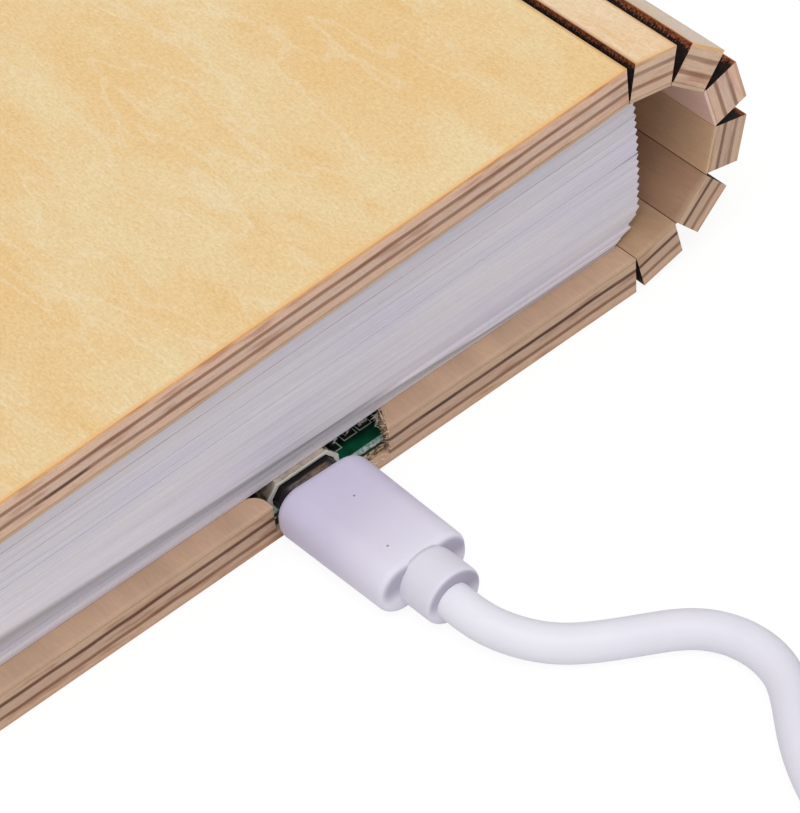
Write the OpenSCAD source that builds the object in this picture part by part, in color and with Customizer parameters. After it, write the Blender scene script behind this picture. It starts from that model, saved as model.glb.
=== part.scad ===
// Folding book lamp: two plywood covers, a spine of hinged slats and a fan of folded paper leaves.
// The closed lamp lies on its back cover. X runs across the book towards the spine, Y runs along
// the spine away from the charging port, and Z is up. Lengths are in millimetres.

/* [Covers] */
// Width of each cover, from the fore edge to the first fold
cover_width = 76; // [66:1:100]
// Height of the covers, along the spine
cover_height = 122; // [100:1:180]
// Thickness of the plywood
panel_thickness = 3.9; // [3.7:0.1:6]
// Thickness of the lining that is bonded to the inner faces and carries the folds
lining_thickness = 0.3; // [0.2:0.05:0.5]
// Radius of the two outer corners of each cover
corner_radius = 2; // [0.5:0.5:6]

/* [Spine] */
// Width of a slat, from fold to fold
slat_pitch = 5.15; // [4.9:0.05:6]
// Gap of the cut between neighbours at a fold
cut_gap = 0.1; // [0.05:0.01:0.2]
// Turn at the fold between a cover and its first slat, closed
end_turn = 12.9; // [12:0.1:14]
// Turn at the second fold from each cover, closed
second_turn = 28.7; // [27:0.1:30]
// Turn at the third fold from each cover, closed
third_turn = 34.7; // [33:0.1:36]
// Turn at the middle fold, closed
middle_turn = 29.7; // [28:0.1:31]

/* [Pages] */
// Margin between the paper and the cover, at head, tail and fore edge
page_margin = 2.5; // [1.5:0.1:5]
// Reach of the paper folds past the first fold of the spine
page_overhang = 3; // [1.5:0.1:3.5]
// Height over which the lowest leaves are drawn back from the spine
page_round_height = 3; // [2:0.1:5]
// How far the lowest leaf is drawn back
page_round_depth = 2.6; // [2.4:0.1:3.2]
// Thickness of the page paper
paper_thickness = 0.15; // [0.1:0.01:0.2]
// Thickness of the endpapers that are glued to the covers
endpaper_thickness = 0.2; // [0.1:0.05:0.3]
// Air between neighbouring leaves when the book is closed
leaf_gap = 0.08; // [0.04:0.01:0.15]

/* [Port] */
// Centre of the socket, from the first fold of the back cover
port_offset = 38.4; // [30:0.1:44]
// Width of the notch in the head edge
notch_width = 13; // [12:0.1:15]
// How far the notch centre lies from the socket centre, towards the spine
notch_shift = 1.8; // [0:0.1:2]
// Radius of the rounded shoulder of the notch
shoulder_radius = 1.6; // [0.5:0.1:2]
// Wood left under the board pocket
pocket_floor = 0.9; // [0.6:0.1:1.5]
// Depth of the wooden lip between the head edge and the board pocket
pocket_lip = 2.4; // [2:0.1:4]

/* [Board] */
// Width of the circuit board behind the notch
board_width = 17.6; // [17:0.1:20]
// Length of the circuit board
board_length = 22; // [18:0.5:30]
// Thickness of the circuit board
board_thickness = 0.8; // [0.6:0.1:1]
// How far the board's front edge stands behind the head edge
board_setback = 0.7; // [0.3:0.1:1.5]
// Clearance round the board, the cell and the strip in their pockets
pocket_clearance = 0.3; // [0.2:0.05:0.6]

/* [Socket] */
// Outer width of the socket shell
socket_width = 7.5; // [7.4:0.1:7.8]
// Outer height of the socket shell
socket_height = 2.5; // [2.5:0.05:2.7]
// Length of the socket shell
socket_length = 5; // [4.6:0.1:5.6]
// Sheet thickness of the socket shell
socket_wall = 0.25; // [0.2:0.01:0.28]
// How far the mouth of the socket stands behind the head edge
socket_setback = 2; // [1:0.1:2.4]

/* [Battery and light] */
// Width of the flat cell
cell_width = 34; // [25:1:38]
// Length of the flat cell
cell_length = 50; // [30:1:60]
// Thickness of the flat cell
cell_thickness = 2.8; // [2:0.1:3]
// Width of the light strip
strip_width = 5; // [4:0.5:8]
// Distance of the light strip's ends from head and tail
strip_margin = 10; // [6:1:15]
// Distance from the first fold to the middle of the light strip
strip_offset = 11; // [8:0.5:12]
// Number of lamps on the strip
lamp_count = 12; // [6:1:18]

/* [Magnets] */
// Diameter of the closing magnets
magnet_diameter = 6; // [4:0.5:8]
// Thickness of the closing magnets
magnet_thickness = 1.5; // [1:0.1:2]
// Distance of the magnets from the fore edge and from head and tail
magnet_inset = 7; // [5:0.5:12]

/* [Plug and cable] */
// Width of the moulded plug
plug_width = 9.8; // [9:0.1:11]
// Height of the moulded plug
plug_height = 5.8; // [5:0.1:6]
// Length of the moulded plug
plug_length = 12.9; // [10:0.1:16]
// Gap between the plug and the head edge
plug_gap = 0.9; // [0.5:0.1:2]
// Diameter of the collar behind the plug
collar_diameter = 5.8; // [5:0.1:6]
// Length of the collar
collar_length = 3.9; // [2:0.1:5]
// Diameter of the cable
cable_diameter = 3.5; // [3:0.1:3.8]

/* [Hidden] */
// The paper is a fan of leaves, half of them hinged to each cover.
half_leaves = 10;
slat_count = 6;
rim = 0.01;                 // lets a cut pass cleanly through a face
root_clearance = 0.1;       // between the lowest leaf and the first slat
cover_total = panel_thickness + lining_thickness;

// Folded spine, seen from the head: a chain of slats that starts at the back cover's fold.
fold_turns = [end_turn, second_turn, third_turn, middle_turn, third_turn, second_turn, end_turn];
function total_turn(count) = count == 0 ? 0 : fold_turns[count - 1] + total_turn(count - 1);
function fold_point(k) = k == 0 ? [0, 0]
    : fold_point(k - 1) + slat_pitch * [cos(total_turn(k)), sin(total_turn(k))];
function slat_outer(k) = let (a = total_turn(k)) cover_total * [sin(a), -cos(a)];
full_turn = total_turn(slat_count + 1);
taper = full_turn - 180;    // the covers lean together towards the fore edge
middle_fold = fold_point(slat_count / 2);

// The origin is at the middle of the closed body's box, at its base.
front_corner = fold_point(slat_count)
    + cover_width * [cos(full_turn), sin(full_turn)] + slat_outer(slat_count + 1);
left_reach = min(-cover_width, front_corner[0]);
right_reach = max([for (k = [1 : slat_count]) for (p = [fold_point(k - 1), fold_point(k)])
    (p + slat_outer(k))[0]]);
hinge_x = -(left_reach + right_reach) / 2;
head_y = -cover_height / 2;

// Pages, in the back cover's frame: x from the first fold, z from the lining's face.
fore_x = -cover_width + page_margin;
page_height = cover_height - 2 * page_margin;
page_base = endpaper_thickness + leaf_gap;
function middle_height(x) = middle_fold[1] + (x - middle_fold[0]) * tan(taper / 2);
function leaf_line(j, x) = page_base + (middle_height(x) - leaf_gap / 2 - page_base) * j / half_leaves;
function rounded_root(k) = page_overhang
    - page_round_depth * pow(max(0, 1 - leaf_line(k - 0.5, 0) / page_round_height), 2);
function slat_clear_root(k) = (leaf_line(k - 1, 0) + leaf_gap / 2 - root_clearance) / tan(end_turn);
function leaf_root(k) = min(rounded_root(k), slat_clear_root(k));
fold_depth = 2 * paper_thickness;   // how far a leaf's fore-edge fold stands out
endpaper_setback = 0.4;     // from the fold of the cover

// Board pocket and socket, in the back cover's frame.
port_x = -port_offset;
notch_left = port_x + notch_shift - notch_width / 2;
notch_right = notch_left + notch_width;
pocket_width = board_width + 2 * pocket_clearance;
pocket_shift = 0.4;         // the pocket lies a little off the notch, towards the fore edge
pocket_left = port_x + notch_shift - pocket_shift - pocket_width / 2;
board_bottom = -cover_total + pocket_floor;
board_top = board_bottom + board_thickness;
board_left = pocket_left + pocket_clearance;
board_back = board_setback + board_length;
tongue_depth = pocket_lip + pocket_clearance;
socket_z = board_top + socket_height / 2;
socket_back = socket_setback + socket_length;
socket_slant = [1, 1.25];   // run and rise of its side walls, narrower away from the board
lip_flare = 0.25;           // the mouth of the socket is turned out by this much
leg_places = [1.6, 4.2];    // along the socket, from its mouth
leg_size = [0.2, 0.7];
leg_height = 0.9;
leg_clearance = 0.1;
flare_right = 1.3;          // the spine side of the notch opens inwards

// Cell, strip and magnets.
cell_shift = 1;             // the cell lies a little off the socket, towards the spine
cell_spacing = 6;           // wood left between the board and the cell
cell_skin = 0.8;            // wood left under the cell
seal_length = 3;            // folded head of the cell's pouch
cell_x = port_x + cell_shift;
cell_y = board_back + cell_spacing;
cell_floor = -cover_total + cell_skin;
strip_depth = 1.7;          // of the strip's pocket, below the lining
strip_floor = -lining_thickness - strip_depth;
strip_thickness = 0.4;
strip_length = cover_height - 2 * strip_margin;
window_margin = [0.5, 1];   // the lining covers this much of the strip's sides and ends
lamp_size = [2, 2.8, 0.8];
lamp_margin = 4;            // from the ends of the strip to its first and last lamp
lamp_step = (strip_length - 2 * lamp_margin) / (lamp_count - 1);
lead_diameter = 0.9;
lead_groove = 1.3;
lead_overlap = 1;           // how far the grooves reach into the pockets at their ends
cell_lead_spacing = 3;
strip_lead_spacing = 1.4;
strip_lead_y = board_back - 6.7;
magnet_x = -cover_width + magnet_inset;

// Plug, in the back cover's frame; it lies level with the socket.
plug_front = -plug_gap;
plug_back = plug_front - plug_length;
collar_back = plug_back - collar_length;
tip_wall = 0.2;
tip_play = 0.1;             // between the tip and the inside of the shell
tip_reach = 4.3;            // how far the metal tip goes into the socket
tip_root = 2;               // how far it goes into the moulding

// Cable. It leaves the collar and lies on the table; each step is its place from the collar's end,
// across and along the spine, and its height above the table.
cable_r = cable_diameter / 2;
cable_exit = [hinge_x + port_x, head_y + collar_back, cover_total + socket_z];
cable_steps = [
    [0.04, -1.98, 2.9],
    [0.41, -3.88, 2.7],
    [1.16, -5.67, 2.42],
    [2.22, -7.31, 2.12],
    [3.51, -8.79, 1.89],
    [4.95, -10.08, 1.8],
    [6.5, -11.25, 1.8],
    [8.13, -12.34, 1.8],
    [9.77, -13.38, 1.8],
    [11.4, -14.46, 1.8],
    [12.86, -15.74, 1.8],
    [14, -17.32, 1.8],
    [14.72, -19.12, 1.8],
    [14.99, -21.05, 1.8],
    [14.78, -22.98, 1.8],
    [14.1, -24.81, 1.8],
    [13.05, -26.44, 1.8],
    [11.85, -27.99, 1.8],
    [10.74, -29.46, 1.8],
    [9.5, -31.35, 1.8],
    [8.25, -33.74, 1.82],
    [7.13, -36.62, 1.89],
    [6.29, -40.06, 2.03],
    [5.92, -44, 2.17],
    [5.91, -48.16, 2.25],
    [5.94, -52.3, 2.25]
];
cable_route = concat([cable_exit],
    [for (p = cable_steps) [cable_exit[0] + p[0], cable_exit[1] + p[1], p[2]]]);

// The coil, and the tail that leaves it, in steps from its middle.
coil_centre = [cable_exit[0] + 29.44, cable_exit[1] - 52.3];
coil_radius = 20;
turn_step = cable_diameter;
tail_steps = [
    [8, -22.1, 9.25],
    [14.3, -19.8, 9.2],
    [20.5, -17.5, 8.2],
    [26.1, -15.4, 6],
    [30.4, -11.9, 4.5],
    [33.1, -7.6, 3.9],
    [34, -3, 3.9],
    [34, 0, 3.9]
];
tail_route = [for (p = tail_steps) [coil_centre[0] + p[0], coil_centre[1] + p[1], p[2]]];
tie_angle = 100;
tie_width = 4;
tie_thickness = 0.5;        // the coil rests on the tie's band
grip_size = [15.6, 7.8, 24];
grip_nose = [7, 3];         // diameter and length of the grip's narrow end
shell_size = [12, 4.5, 18.8];
shell_root = 5;             // how far the shell goes into the grip
shell_wall = 0.3;

// Colours as they show on the lamp.
birch = [0.93, 0.83, 0.64];
lining_tone = [0.85, 0.75, 0.62];
paper_tone = [0.93, 0.93, 0.95];
board_green = [0.05, 0.35, 0.22];
steel_tone = [0.72, 0.71, 0.68];
plug_white = [0.9, 0.89, 0.94];

// ---- Placing -----------------------------------------------------------------------------------

// Frame of the back cover: x = 0 at its fold, z = 0 on the lining's face, y = 0 at the head edge.
module in_back() {
    translate([hinge_x, head_y, cover_total]) children();
}

// Frame of the k-th piece of the chain, slats 1 to 6 and the front cover as 7. Its x runs away
// from its fold, and its inner face is z = 0.
module in_chain(k) {
    p = fold_point(k - 1);
    in_back() translate([p[0], 0, p[1]]) rotate([0, -total_turn(k), 0]) children();
}

// The front cover carries what the back cover carries, mirrored in the book's middle plane.
module in_front() {
    in_back() translate([middle_fold[0], 0, middle_fold[1]]) mirror([-sin(taper / 2), 0, cos(taper / 2)])
        translate([-middle_fold[0], 0, -middle_fold[1]]) children();
}

// Runs a profile drawn in x and z along the spine, from y = start.
module along_spine(start, reach) {
    translate([0, start + reach, 0]) rotate([90, 0, 0]) linear_extrude(reach) children();
}

// A flat piece drawn in x and y, between two heights.
module slab(bottom, top) {
    translate([0, 0, bottom]) linear_extrude(top - bottom) children();
}

// Section of the socket, six sides with the two upper corners cut on the slant, made smaller all
// round by an inset.
function micro_outline(inset) = let (
        w = socket_width / 2 - inset,
        h = socket_height / 2 - inset,
        slope = socket_slant[0] / socket_slant[1],
        shift = inset * norm(socket_slant) / socket_slant[1],
        top = socket_width / 2 - slope * h - shift,
        knee = (inset - shift) / slope)
    [[-w, -h], [w, -h], [w, knee], [top, h], [-top, h], [-w, knee]];

// A rectangle with round corners, centred.
module round_rectangle(size, r) {
    square([size[0] - 2 * r, size[1]], center = true);
    square([size[0], size[1] - 2 * r], center = true);
    for (sx = [-1, 1]) for (sy = [-1, 1])
        translate([sx * (size[0] / 2 - r), sy * (size[1] / 2 - r)]) circle(r, $fn = 32);
}

// ---- Covers and spine --------------------------------------------------------------------------

// Outline of a cover, with its fold at x = 0 and the fore edge at x = -cover_width.
module cover_outline() {
    fold_edge = -cut_gap / 2;
    translate([-cover_width + corner_radius, 0])
        square([cover_width - corner_radius + fold_edge, cover_height]);
    translate([-cover_width, corner_radius]) square([corner_radius, cover_height - 2 * corner_radius]);
    for (y = [corner_radius, cover_height - corner_radius])
        translate([-cover_width + corner_radius, y]) circle(corner_radius, $fn = 48);
}

// Notch through the head edge and the board pocket behind it. One shoulder is rounded and the
// other is cut on the slant.
module port_outline(pocket_length) {
    translate([notch_left, -rim]) square([notch_width, pocket_lip + 2 * rim]);
    translate([pocket_left, pocket_lip]) square([pocket_width, pocket_length]);
    difference() {
        translate([notch_left - shoulder_radius, pocket_lip - shoulder_radius])
            square([shoulder_radius + rim, shoulder_radius + rim]);
        translate([notch_left - shoulder_radius, pocket_lip - shoulder_radius])
            circle(shoulder_radius, $fn = 48);
    }
    polygon([[notch_right - rim, -rim], [notch_right, -rim], [notch_right + flare_right, pocket_lip + rim],
        [notch_right - rim, pocket_lip + rim]]);
}

// Where the magnets sit on a cover.
module at_magnets() {
    for (y = [magnet_inset, cover_height - magnet_inset]) translate([magnet_x, y, 0]) children();
}

// Blind holes for the magnets, open under the lining.
module magnet_holes() {
    at_magnets() translate([0, 0, -lining_thickness - magnet_thickness])
        cylinder(d = magnet_diameter, h = magnet_thickness + rim, $fn = 48);
}

// Outlines of the cell and of the light strip, larger by a margin on each side.
module cell_outline(margin) {
    translate([cell_x - cell_width / 2 - margin, cell_y - margin])
        square([cell_width + 2 * margin, cell_length + 2 * margin]);
}

module strip_outline(margin) {
    translate([-strip_offset - strip_width / 2, strip_margin] - margin)
        square([strip_width, strip_length] + 2 * margin);
}

// Groove for the leads: from the board to the cell and from the board to the strip.
module lead_grooves() {
    groove_bottom = -lining_thickness - lead_groove;
    cell_groove = cell_lead_spacing + 5 * lead_diameter;
    strip_groove = strip_lead_spacing + 1.6 * lead_diameter;
    pocket_right = pocket_left + pocket_width;
    slab(groove_bottom, -lining_thickness + rim) {
        translate([cell_x - cell_groove / 2, board_back - lead_overlap])
            square([cell_groove, cell_y - board_back + 2 * lead_overlap]);
        translate([pocket_right - lead_overlap, strip_lead_y - strip_groove / 2])
            square([-strip_offset - pocket_right + lead_overlap, strip_groove]);
    }
}

module back_cover() {
    color(birch) in_back() difference() {
        slab(-cover_total, -lining_thickness) cover_outline();
        slab(board_bottom, rim) port_outline(board_back - pocket_lip + pocket_clearance);
        slab(cell_floor, rim) cell_outline(pocket_clearance);
        slab(strip_floor, rim) strip_outline([pocket_clearance, pocket_clearance]);
        lead_grooves();
        magnet_holes();
    }
}

module front_cover() {
    color(birch) in_front() difference() {
        slab(-cover_total, -lining_thickness) cover_outline();
        magnet_holes();
    }
}

module spine_slat(k) {
    color(birch) in_chain(k) translate([cut_gap / 2, 0, -cover_total])
        cube([slat_pitch - cut_gap, cover_height, panel_thickness]);
}

// ---- Lining ------------------------------------------------------------------------------------

module back_lining() {
    color(lining_tone) in_back() slab(-lining_thickness, 0) difference() {
        cover_outline();
        port_outline(socket_back - pocket_lip + pocket_clearance);
        strip_outline(-window_margin);
    }
}

module front_lining() {
    color(lining_tone) in_front() slab(-lining_thickness, 0) cover_outline();
}

module fold_strip(k) {
    color(lining_tone) in_chain(k) translate([cut_gap / 2, 0, -lining_thickness])
        cube([slat_pitch - cut_gap, cover_height, lining_thickness]);
}

// ---- Board and socket --------------------------------------------------------------------------

// The spine side of the notch at a distance from the head edge.
function notch_flare(y) = notch_right + flare_right * y / pocket_lip;

module circuit_board() {
    color(board_green) in_back() slab(board_bottom, board_top) difference() {
        union() {
            polygon([
                [notch_left + pocket_clearance, board_setback],
                [notch_flare(board_setback) - pocket_clearance, board_setback],
                [notch_flare(pocket_lip) - pocket_clearance, pocket_lip],
                [notch_flare(pocket_lip) - pocket_clearance, tongue_depth + rim],
                [notch_left + pocket_clearance, tongue_depth + rim]]);
            translate([board_left, tongue_depth]) square([board_width, board_back - tongue_depth]);
        }
        for (side = [-1, 1]) for (y = leg_places)
            translate([port_x + side * (socket_width + leg_size[0]) / 2, socket_setback + y])
            square(leg_size + [2 * leg_clearance, 2 * leg_clearance], center = true);
    }
}

module usb_socket() {
    lip_length = 0.3;
    lip_growth = 1 + 2 * lip_flare / socket_width;
    color(steel_tone) in_back() translate([port_x, socket_setback, socket_z]) {
        along_spine(0, socket_length) difference() {
            polygon(micro_outline(0));
            polygon(micro_outline(socket_wall));
        }
        // turned-out lip of the mouth
        along_spine(-lip_length, lip_length) difference() {
            scale([lip_growth, 1]) polygon(micro_outline(0));
            polygon(micro_outline(socket_wall));
        }
        // legs that are soldered through the board
        for (side = [-1, 1]) for (y = leg_places)
            translate([side * (socket_width + leg_size[0]) / 2, y, -socket_height / 2 - board_thickness])
            linear_extrude(board_thickness + leg_height) square(leg_size, center = true);
        // closed back
        along_spine(socket_length - socket_wall, socket_wall) polygon(micro_outline(0));
    }
}

module socket_tongue() {
    tongue_size = [3.9, 3.6, 0.55];
    tongue_drop = 0.1;
    root_size = [socket_width - 2.2, 0.35, 1.4];
    root_end = socket_length - socket_wall;
    color([0.12, 0.12, 0.13]) in_back() translate([port_x, socket_setback, socket_z]) {
        translate([-tongue_size[0] / 2, root_end - tongue_size[1], -tongue_drop]) cube(tongue_size);
        translate([-root_size[0] / 2, root_end - root_size[1], -root_size[2] / 2]) cube(root_size);
    }
}

// Frame of a component: its near left corner on the board, counted from the board's left edge
// and from the back of the socket.
module on_board(place) {
    in_back() translate([board_left + place[0], socket_back + place[1], board_top]) children();
}

module charge_chip() {
    body = [4.9, 3.9, 1.5];
    stand = 0.1;
    pin = [0.4, 0.9, 0.2];
    pin_pitch = 1.27;
    pin_count = 4;
    first_pin = (body[0] - (pin_count - 1) * pin_pitch - pin[0]) / 2;
    color([0.1, 0.1, 0.1]) on_board([3.4, 2.2]) {
        translate([0, 0, stand]) cube(body);
        for (i = [0 : pin_count - 1]) for (side = [-pin[1], body[1]])
            translate([first_pin + i * pin_pitch, side, 0]) cube(pin);
    }
}

module hall_switch() {
    body = [2.9, 1.6, 1.1];
    stand = 0.1;
    pin = [0.4, 0.5, 0.2];
    color([0.16, 0.15, 0.15]) on_board([12, 9.5]) {
        translate([0, 0, stand]) cube(body);
        for (x = [0.1, 0.76]) translate([x * body[0], -pin[1], 0]) cube(pin);
        translate([(body[0] - pin[0]) / 2, body[1], 0]) cube(pin);
    }
}

// Chip resistors and capacitors; three of them stand beside the socket.
module board_passives() {
    part_size = [0.9, 1.6, 0.5];
    spacing = 1.7;
    beside_socket = [port_x + socket_width / 2 + 1 - board_left, tongue_depth + 1.2 - socket_back];
    behind_socket = [10, 4];
    color([0.55, 0.45, 0.35]) {
        for (i = [0 : 2]) on_board(beside_socket + [i * spacing, 0]) cube(part_size);
        for (i = [0 : 3]) on_board(behind_socket + [i * spacing, 0]) cube(part_size);
    }
}

// ---- Cell and light ----------------------------------------------------------------------------

module battery_cell() {
    edge_r = 0.4 * cell_thickness;
    seal_inset = 1;
    seal_size = [cell_width - 2 * seal_inset, seal_length, cell_thickness / 2];
    color([0.75, 0.76, 0.78]) in_back() {
        along_spine(cell_y, cell_length - seal_length) translate([cell_x, cell_floor + cell_thickness / 2])
            round_rectangle([cell_width, cell_thickness], edge_r);
        // folded head of the pouch
        translate([cell_x - seal_size[0] / 2, cell_y + cell_length - seal_length, 0])
            translate([0, 0, cell_floor + seal_size[2] / 2]) cube(seal_size);
    }
}

module light_strip() {
    color([0.93, 0.92, 0.88]) in_back()
        slab(strip_floor, strip_floor + strip_thickness) strip_outline([0, 0]);
}

module strip_lamps() {
    color([0.95, 0.85, 0.3]) in_back() translate([-strip_offset, strip_margin + lamp_margin, 0])
        for (i = [0 : lamp_count - 1])
            translate([-lamp_size[0] / 2, i * lamp_step - lamp_size[1] / 2, strip_floor + strip_thickness])
            cube(lamp_size);
}

// Two leads to the cell and two to the strip, in their grooves.
module inner_leads() {
    lead_r = lead_diameter / 2;
    lead_z = -lining_thickness - lead_groove + lead_r;
    lead_end = 0.3;         // left free at each end of a groove
    cell_run = cell_y - board_back + lead_overlap - lead_end;
    strip_start = pocket_left + pocket_width - lead_overlap + lead_end;
    strip_run = -strip_offset - strip_width / 2 - strip_start;
    color([0.7, 0.1, 0.1]) in_back() {
        for (side = [-0.5, 0.5])
            translate([cell_x + side * cell_lead_spacing, board_back - lead_overlap + lead_end, lead_z])
            rotate([-90, 0, 0]) cylinder(r = lead_r, h = cell_run, $fn = 16);
        for (side = [-0.5, 0.5])
            translate([strip_start, strip_lead_y + side * strip_lead_spacing, lead_z])
            rotate([0, 90, 0]) cylinder(r = lead_r, h = strip_run, $fn = 16);
    }
}

module cover_magnets() {
    at_magnets() translate([0, 0, -lining_thickness - magnet_thickness])
        cylinder(d = magnet_diameter, h = magnet_thickness, $fn = 48);
}

module back_magnets() {
    color([0.7, 0.7, 0.72]) in_back() cover_magnets();
}

module front_magnets() {
    color([0.7, 0.7, 0.72]) in_front() cover_magnets();
}

// ---- Pages -------------------------------------------------------------------------------------

module endpaper() {
    translate([fore_x, page_margin, 0]) cube([-fore_x - endpaper_setback, page_height, endpaper_thickness]);
}

module back_endpaper() {
    color(paper_tone) in_back() endpaper();
}

module front_endpaper() {
    color(paper_tone) in_front() endpaper();
}

// One leaf: a sheet folded back on itself, with its fold at the fore edge and both ends at the
// spine. Leaf 1 lies on the endpaper.
module leaf(k) {
    root = leaf_root(k);
    function low(x) = leaf_line(k - 1, x) + leaf_gap / 2;
    function high(x) = leaf_line(k, x) - leaf_gap / 2;
    fold_x = fore_x + fold_depth;
    fold_middle = (low(fore_x) + high(fore_x)) / 2;
    along_spine(page_margin, page_height) polygon([
        [root, low(root)], [fold_x, low(fold_x)], [fore_x, fold_middle], [fold_x, high(fold_x)],
        [root, high(root)], [root, high(root) - paper_thickness],
        [fold_x + paper_thickness, high(fold_x) - paper_thickness],
        [fore_x + 2 * paper_thickness, fold_middle],
        [fold_x + paper_thickness, low(fold_x) + paper_thickness],
        [root, low(root) + paper_thickness]]);
}

module back_leaf(k) {
    color(paper_tone) in_back() leaf(k);
}

module front_leaf(k) {
    color(paper_tone) in_front() leaf(k);
}

// ---- Plug and cable ----------------------------------------------------------------------------

module at_plug() {
    in_back() translate([port_x, 0, socket_z]) children();
}

module plug_tip() {
    tip_length = tip_root - plug_front + socket_setback + tip_reach;
    tip_inset = socket_wall + tip_play;
    color(steel_tone) at_plug() along_spine(plug_front - tip_root, tip_length)
        difference() {
            polygon(micro_outline(tip_inset));
            polygon(micro_outline(tip_inset + tip_wall));
        }
}

// Moulded grip with a full round section and softened ends; it narrows a little to the cable.
module plug_body() {
    narrow = 0.4;           // how much smaller the grip is at the cable's end
    edge = 0.7;             // depth of the softened edge at both ends
    flat = 0.6;             // height left flat at the sides
    module grip_slice(y, shrink) {
        size = [plug_width - shrink, plug_height - shrink];
        along_spine(y, 0.05) round_rectangle(size, (size[1] - flat) / 2);
    }
    color(plug_white) at_plug() difference() {
        hull() {
            grip_slice(plug_front - 0.05, 2 * edge);
            grip_slice(plug_front - edge, 0);
            grip_slice(plug_back + edge, narrow);
            grip_slice(plug_back, narrow + 2 * edge);
        }
        along_spine(plug_front - tip_root, tip_root + rim) polygon(micro_outline(socket_wall + tip_play));
    }
}

module plug_collar() {
    color(plug_white) at_plug() translate([0, plug_back, 0]) rotate([90, 0, 0])
        cylinder(d = collar_diameter, h = collar_length, $fn = 48);
}

// A ring of points round the cord at point i of its path.
function unit(v) = v / norm(v);
function heading(path, i) = unit(path[min(i + 1, len(path) - 1)] - path[max(i - 1, 0)]);
function ring(path, i, r, sides) = let (
        ahead = heading(path, i),
        across = unit(cross(ahead, [0, 0, 1])),
        upward = cross(across, ahead))
    [for (s = [0 : sides - 1]) path[i] + r * (cos(360 * s / sides) * across + sin(360 * s / sides) * upward)];

// A tube of one solid along a path.
module swept_tube(path, r, sides = 8) {
    last = len(path) - 1;
    side_faces = [for (i = [0 : last - 1]) for (s = [0 : sides - 1]) let (
            a = i * sides + s,
            b = i * sides + (s + 1) % sides)
        each [[a, b + sides, b], [a, a + sides, b + sides]]];
    start_cap = [for (s = [0 : sides - 1]) s];
    end_cap = [for (s = [sides - 1 : -1 : 0]) last * sides + s];
    polyhedron(points = [for (i = [0 : last]) each ring(path, i, r, sides)],
        faces = concat(side_faces, [start_cap, end_cap]), convexity = 4);
}

module cable() {
    color(plug_white) swept_tube(cable_route, cable_r);
}

module cable_tail() {
    color(plug_white) swept_tube(tail_route, cable_r);
}

module at_coil() {
    translate([coil_centre[0], coil_centre[1], tie_thickness]) children();
}

// The coil's outer shape: three turns beside each other, three on them and one on top.
module cable_coil() {
    bundle = 3 * turn_step;
    color(plug_white) at_coil() rotate_extrude($fn = 96) {
        translate([coil_radius, turn_step]) round_rectangle([bundle, 2 * turn_step], cable_r);
        translate([coil_radius + turn_step, 2 * turn_step])
            round_rectangle([turn_step, 2 * turn_step], cable_r - rim);
    }
}

// A flat band round the turns.
module cable_tie() {
    inner = [3 * turn_step, 3 * turn_step];
    inner_r = 0.7;
    color([0.12, 0.12, 0.12]) at_coil() rotate([0, 0, tie_angle])
        translate([coil_radius, -tie_width / 2, 1.5 * turn_step]) along_spine(0, tie_width) difference() {
            round_rectangle(inner + [2 * tie_thickness, 2 * tie_thickness], inner_r + tie_thickness);
            round_rectangle(inner, inner_r);
        }
}

// Frame of the far plug: it lies flat, with its cable entry at the tail's end and z along its length.
module at_far_plug() {
    end = tail_route[len(tail_route) - 1];
    ahead = end - tail_route[len(tail_route) - 2];
    translate(end) rotate([0, 0, atan2(ahead[1], ahead[0]) - 90]) rotate([-90, 0, 0]) children();
}

module usb_a_grip() {
    edge_r = 2;
    color(plug_white) at_far_plug() difference() {
        union() {
            translate([0, 0, grip_nose[1]]) linear_extrude(grip_size[2] - grip_nose[1])
                round_rectangle([grip_size[0], grip_size[1]], edge_r);
            cylinder(d = grip_nose[0], h = grip_nose[1], $fn = 48);
        }
        translate([0, 0, grip_size[2] - shell_root]) linear_extrude(shell_root + rim)
            square([shell_size[0], shell_size[1]], center = true);
    }
}

// Metal shell with the contact block in its lower half.
module usb_a_shell() {
    inner = [shell_size[0] - 2 * shell_wall, shell_size[1] - 2 * shell_wall];
    block_setback = 0.6;
    color(steel_tone) at_far_plug() translate([0, 0, grip_size[2] - shell_root]) {
        linear_extrude(shell_size[2]) difference() {
            square([shell_size[0], shell_size[1]], center = true);
            square(inner, center = true);
        }
        linear_extrude(shell_size[2] - block_setback) translate(-inner / 2) square([inner[0], inner[1] / 2]);
    }
}

// ---- Nodes -------------------------------------------------------------------------------------

back_cover();
front_cover();
spine_slat(1);  // spine_slat_1
spine_slat(2);  // spine_slat_2
spine_slat(3);  // spine_slat_3
spine_slat(4);  // spine_slat_4
spine_slat(5);  // spine_slat_5
spine_slat(6);  // spine_slat_6
back_lining();
front_lining();
fold_strip(1);  // fold_strip_1
fold_strip(2);  // fold_strip_2
fold_strip(3);  // fold_strip_3
fold_strip(4);  // fold_strip_4
fold_strip(5);  // fold_strip_5
fold_strip(6);  // fold_strip_6
circuit_board();
usb_socket();
socket_tongue();
charge_chip();
hall_switch();
board_passives();
battery_cell();
light_strip();
strip_lamps();
inner_leads();
back_magnets();
front_magnets();
back_endpaper();
front_endpaper();
back_leaf(1);  // back_leaf_1
back_leaf(2);  // back_leaf_2
back_leaf(3);  // back_leaf_3
back_leaf(4);  // back_leaf_4
back_leaf(5);  // back_leaf_5
back_leaf(6);  // back_leaf_6
back_leaf(7);  // back_leaf_7
back_leaf(8);  // back_leaf_8
back_leaf(9);  // back_leaf_9
back_leaf(10);  // back_leaf_10
front_leaf(1);  // front_leaf_1
front_leaf(2);  // front_leaf_2
front_leaf(3);  // front_leaf_3
front_leaf(4);  // front_leaf_4
front_leaf(5);  // front_leaf_5
front_leaf(6);  // front_leaf_6
front_leaf(7);  // front_leaf_7
front_leaf(8);  // front_leaf_8
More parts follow.
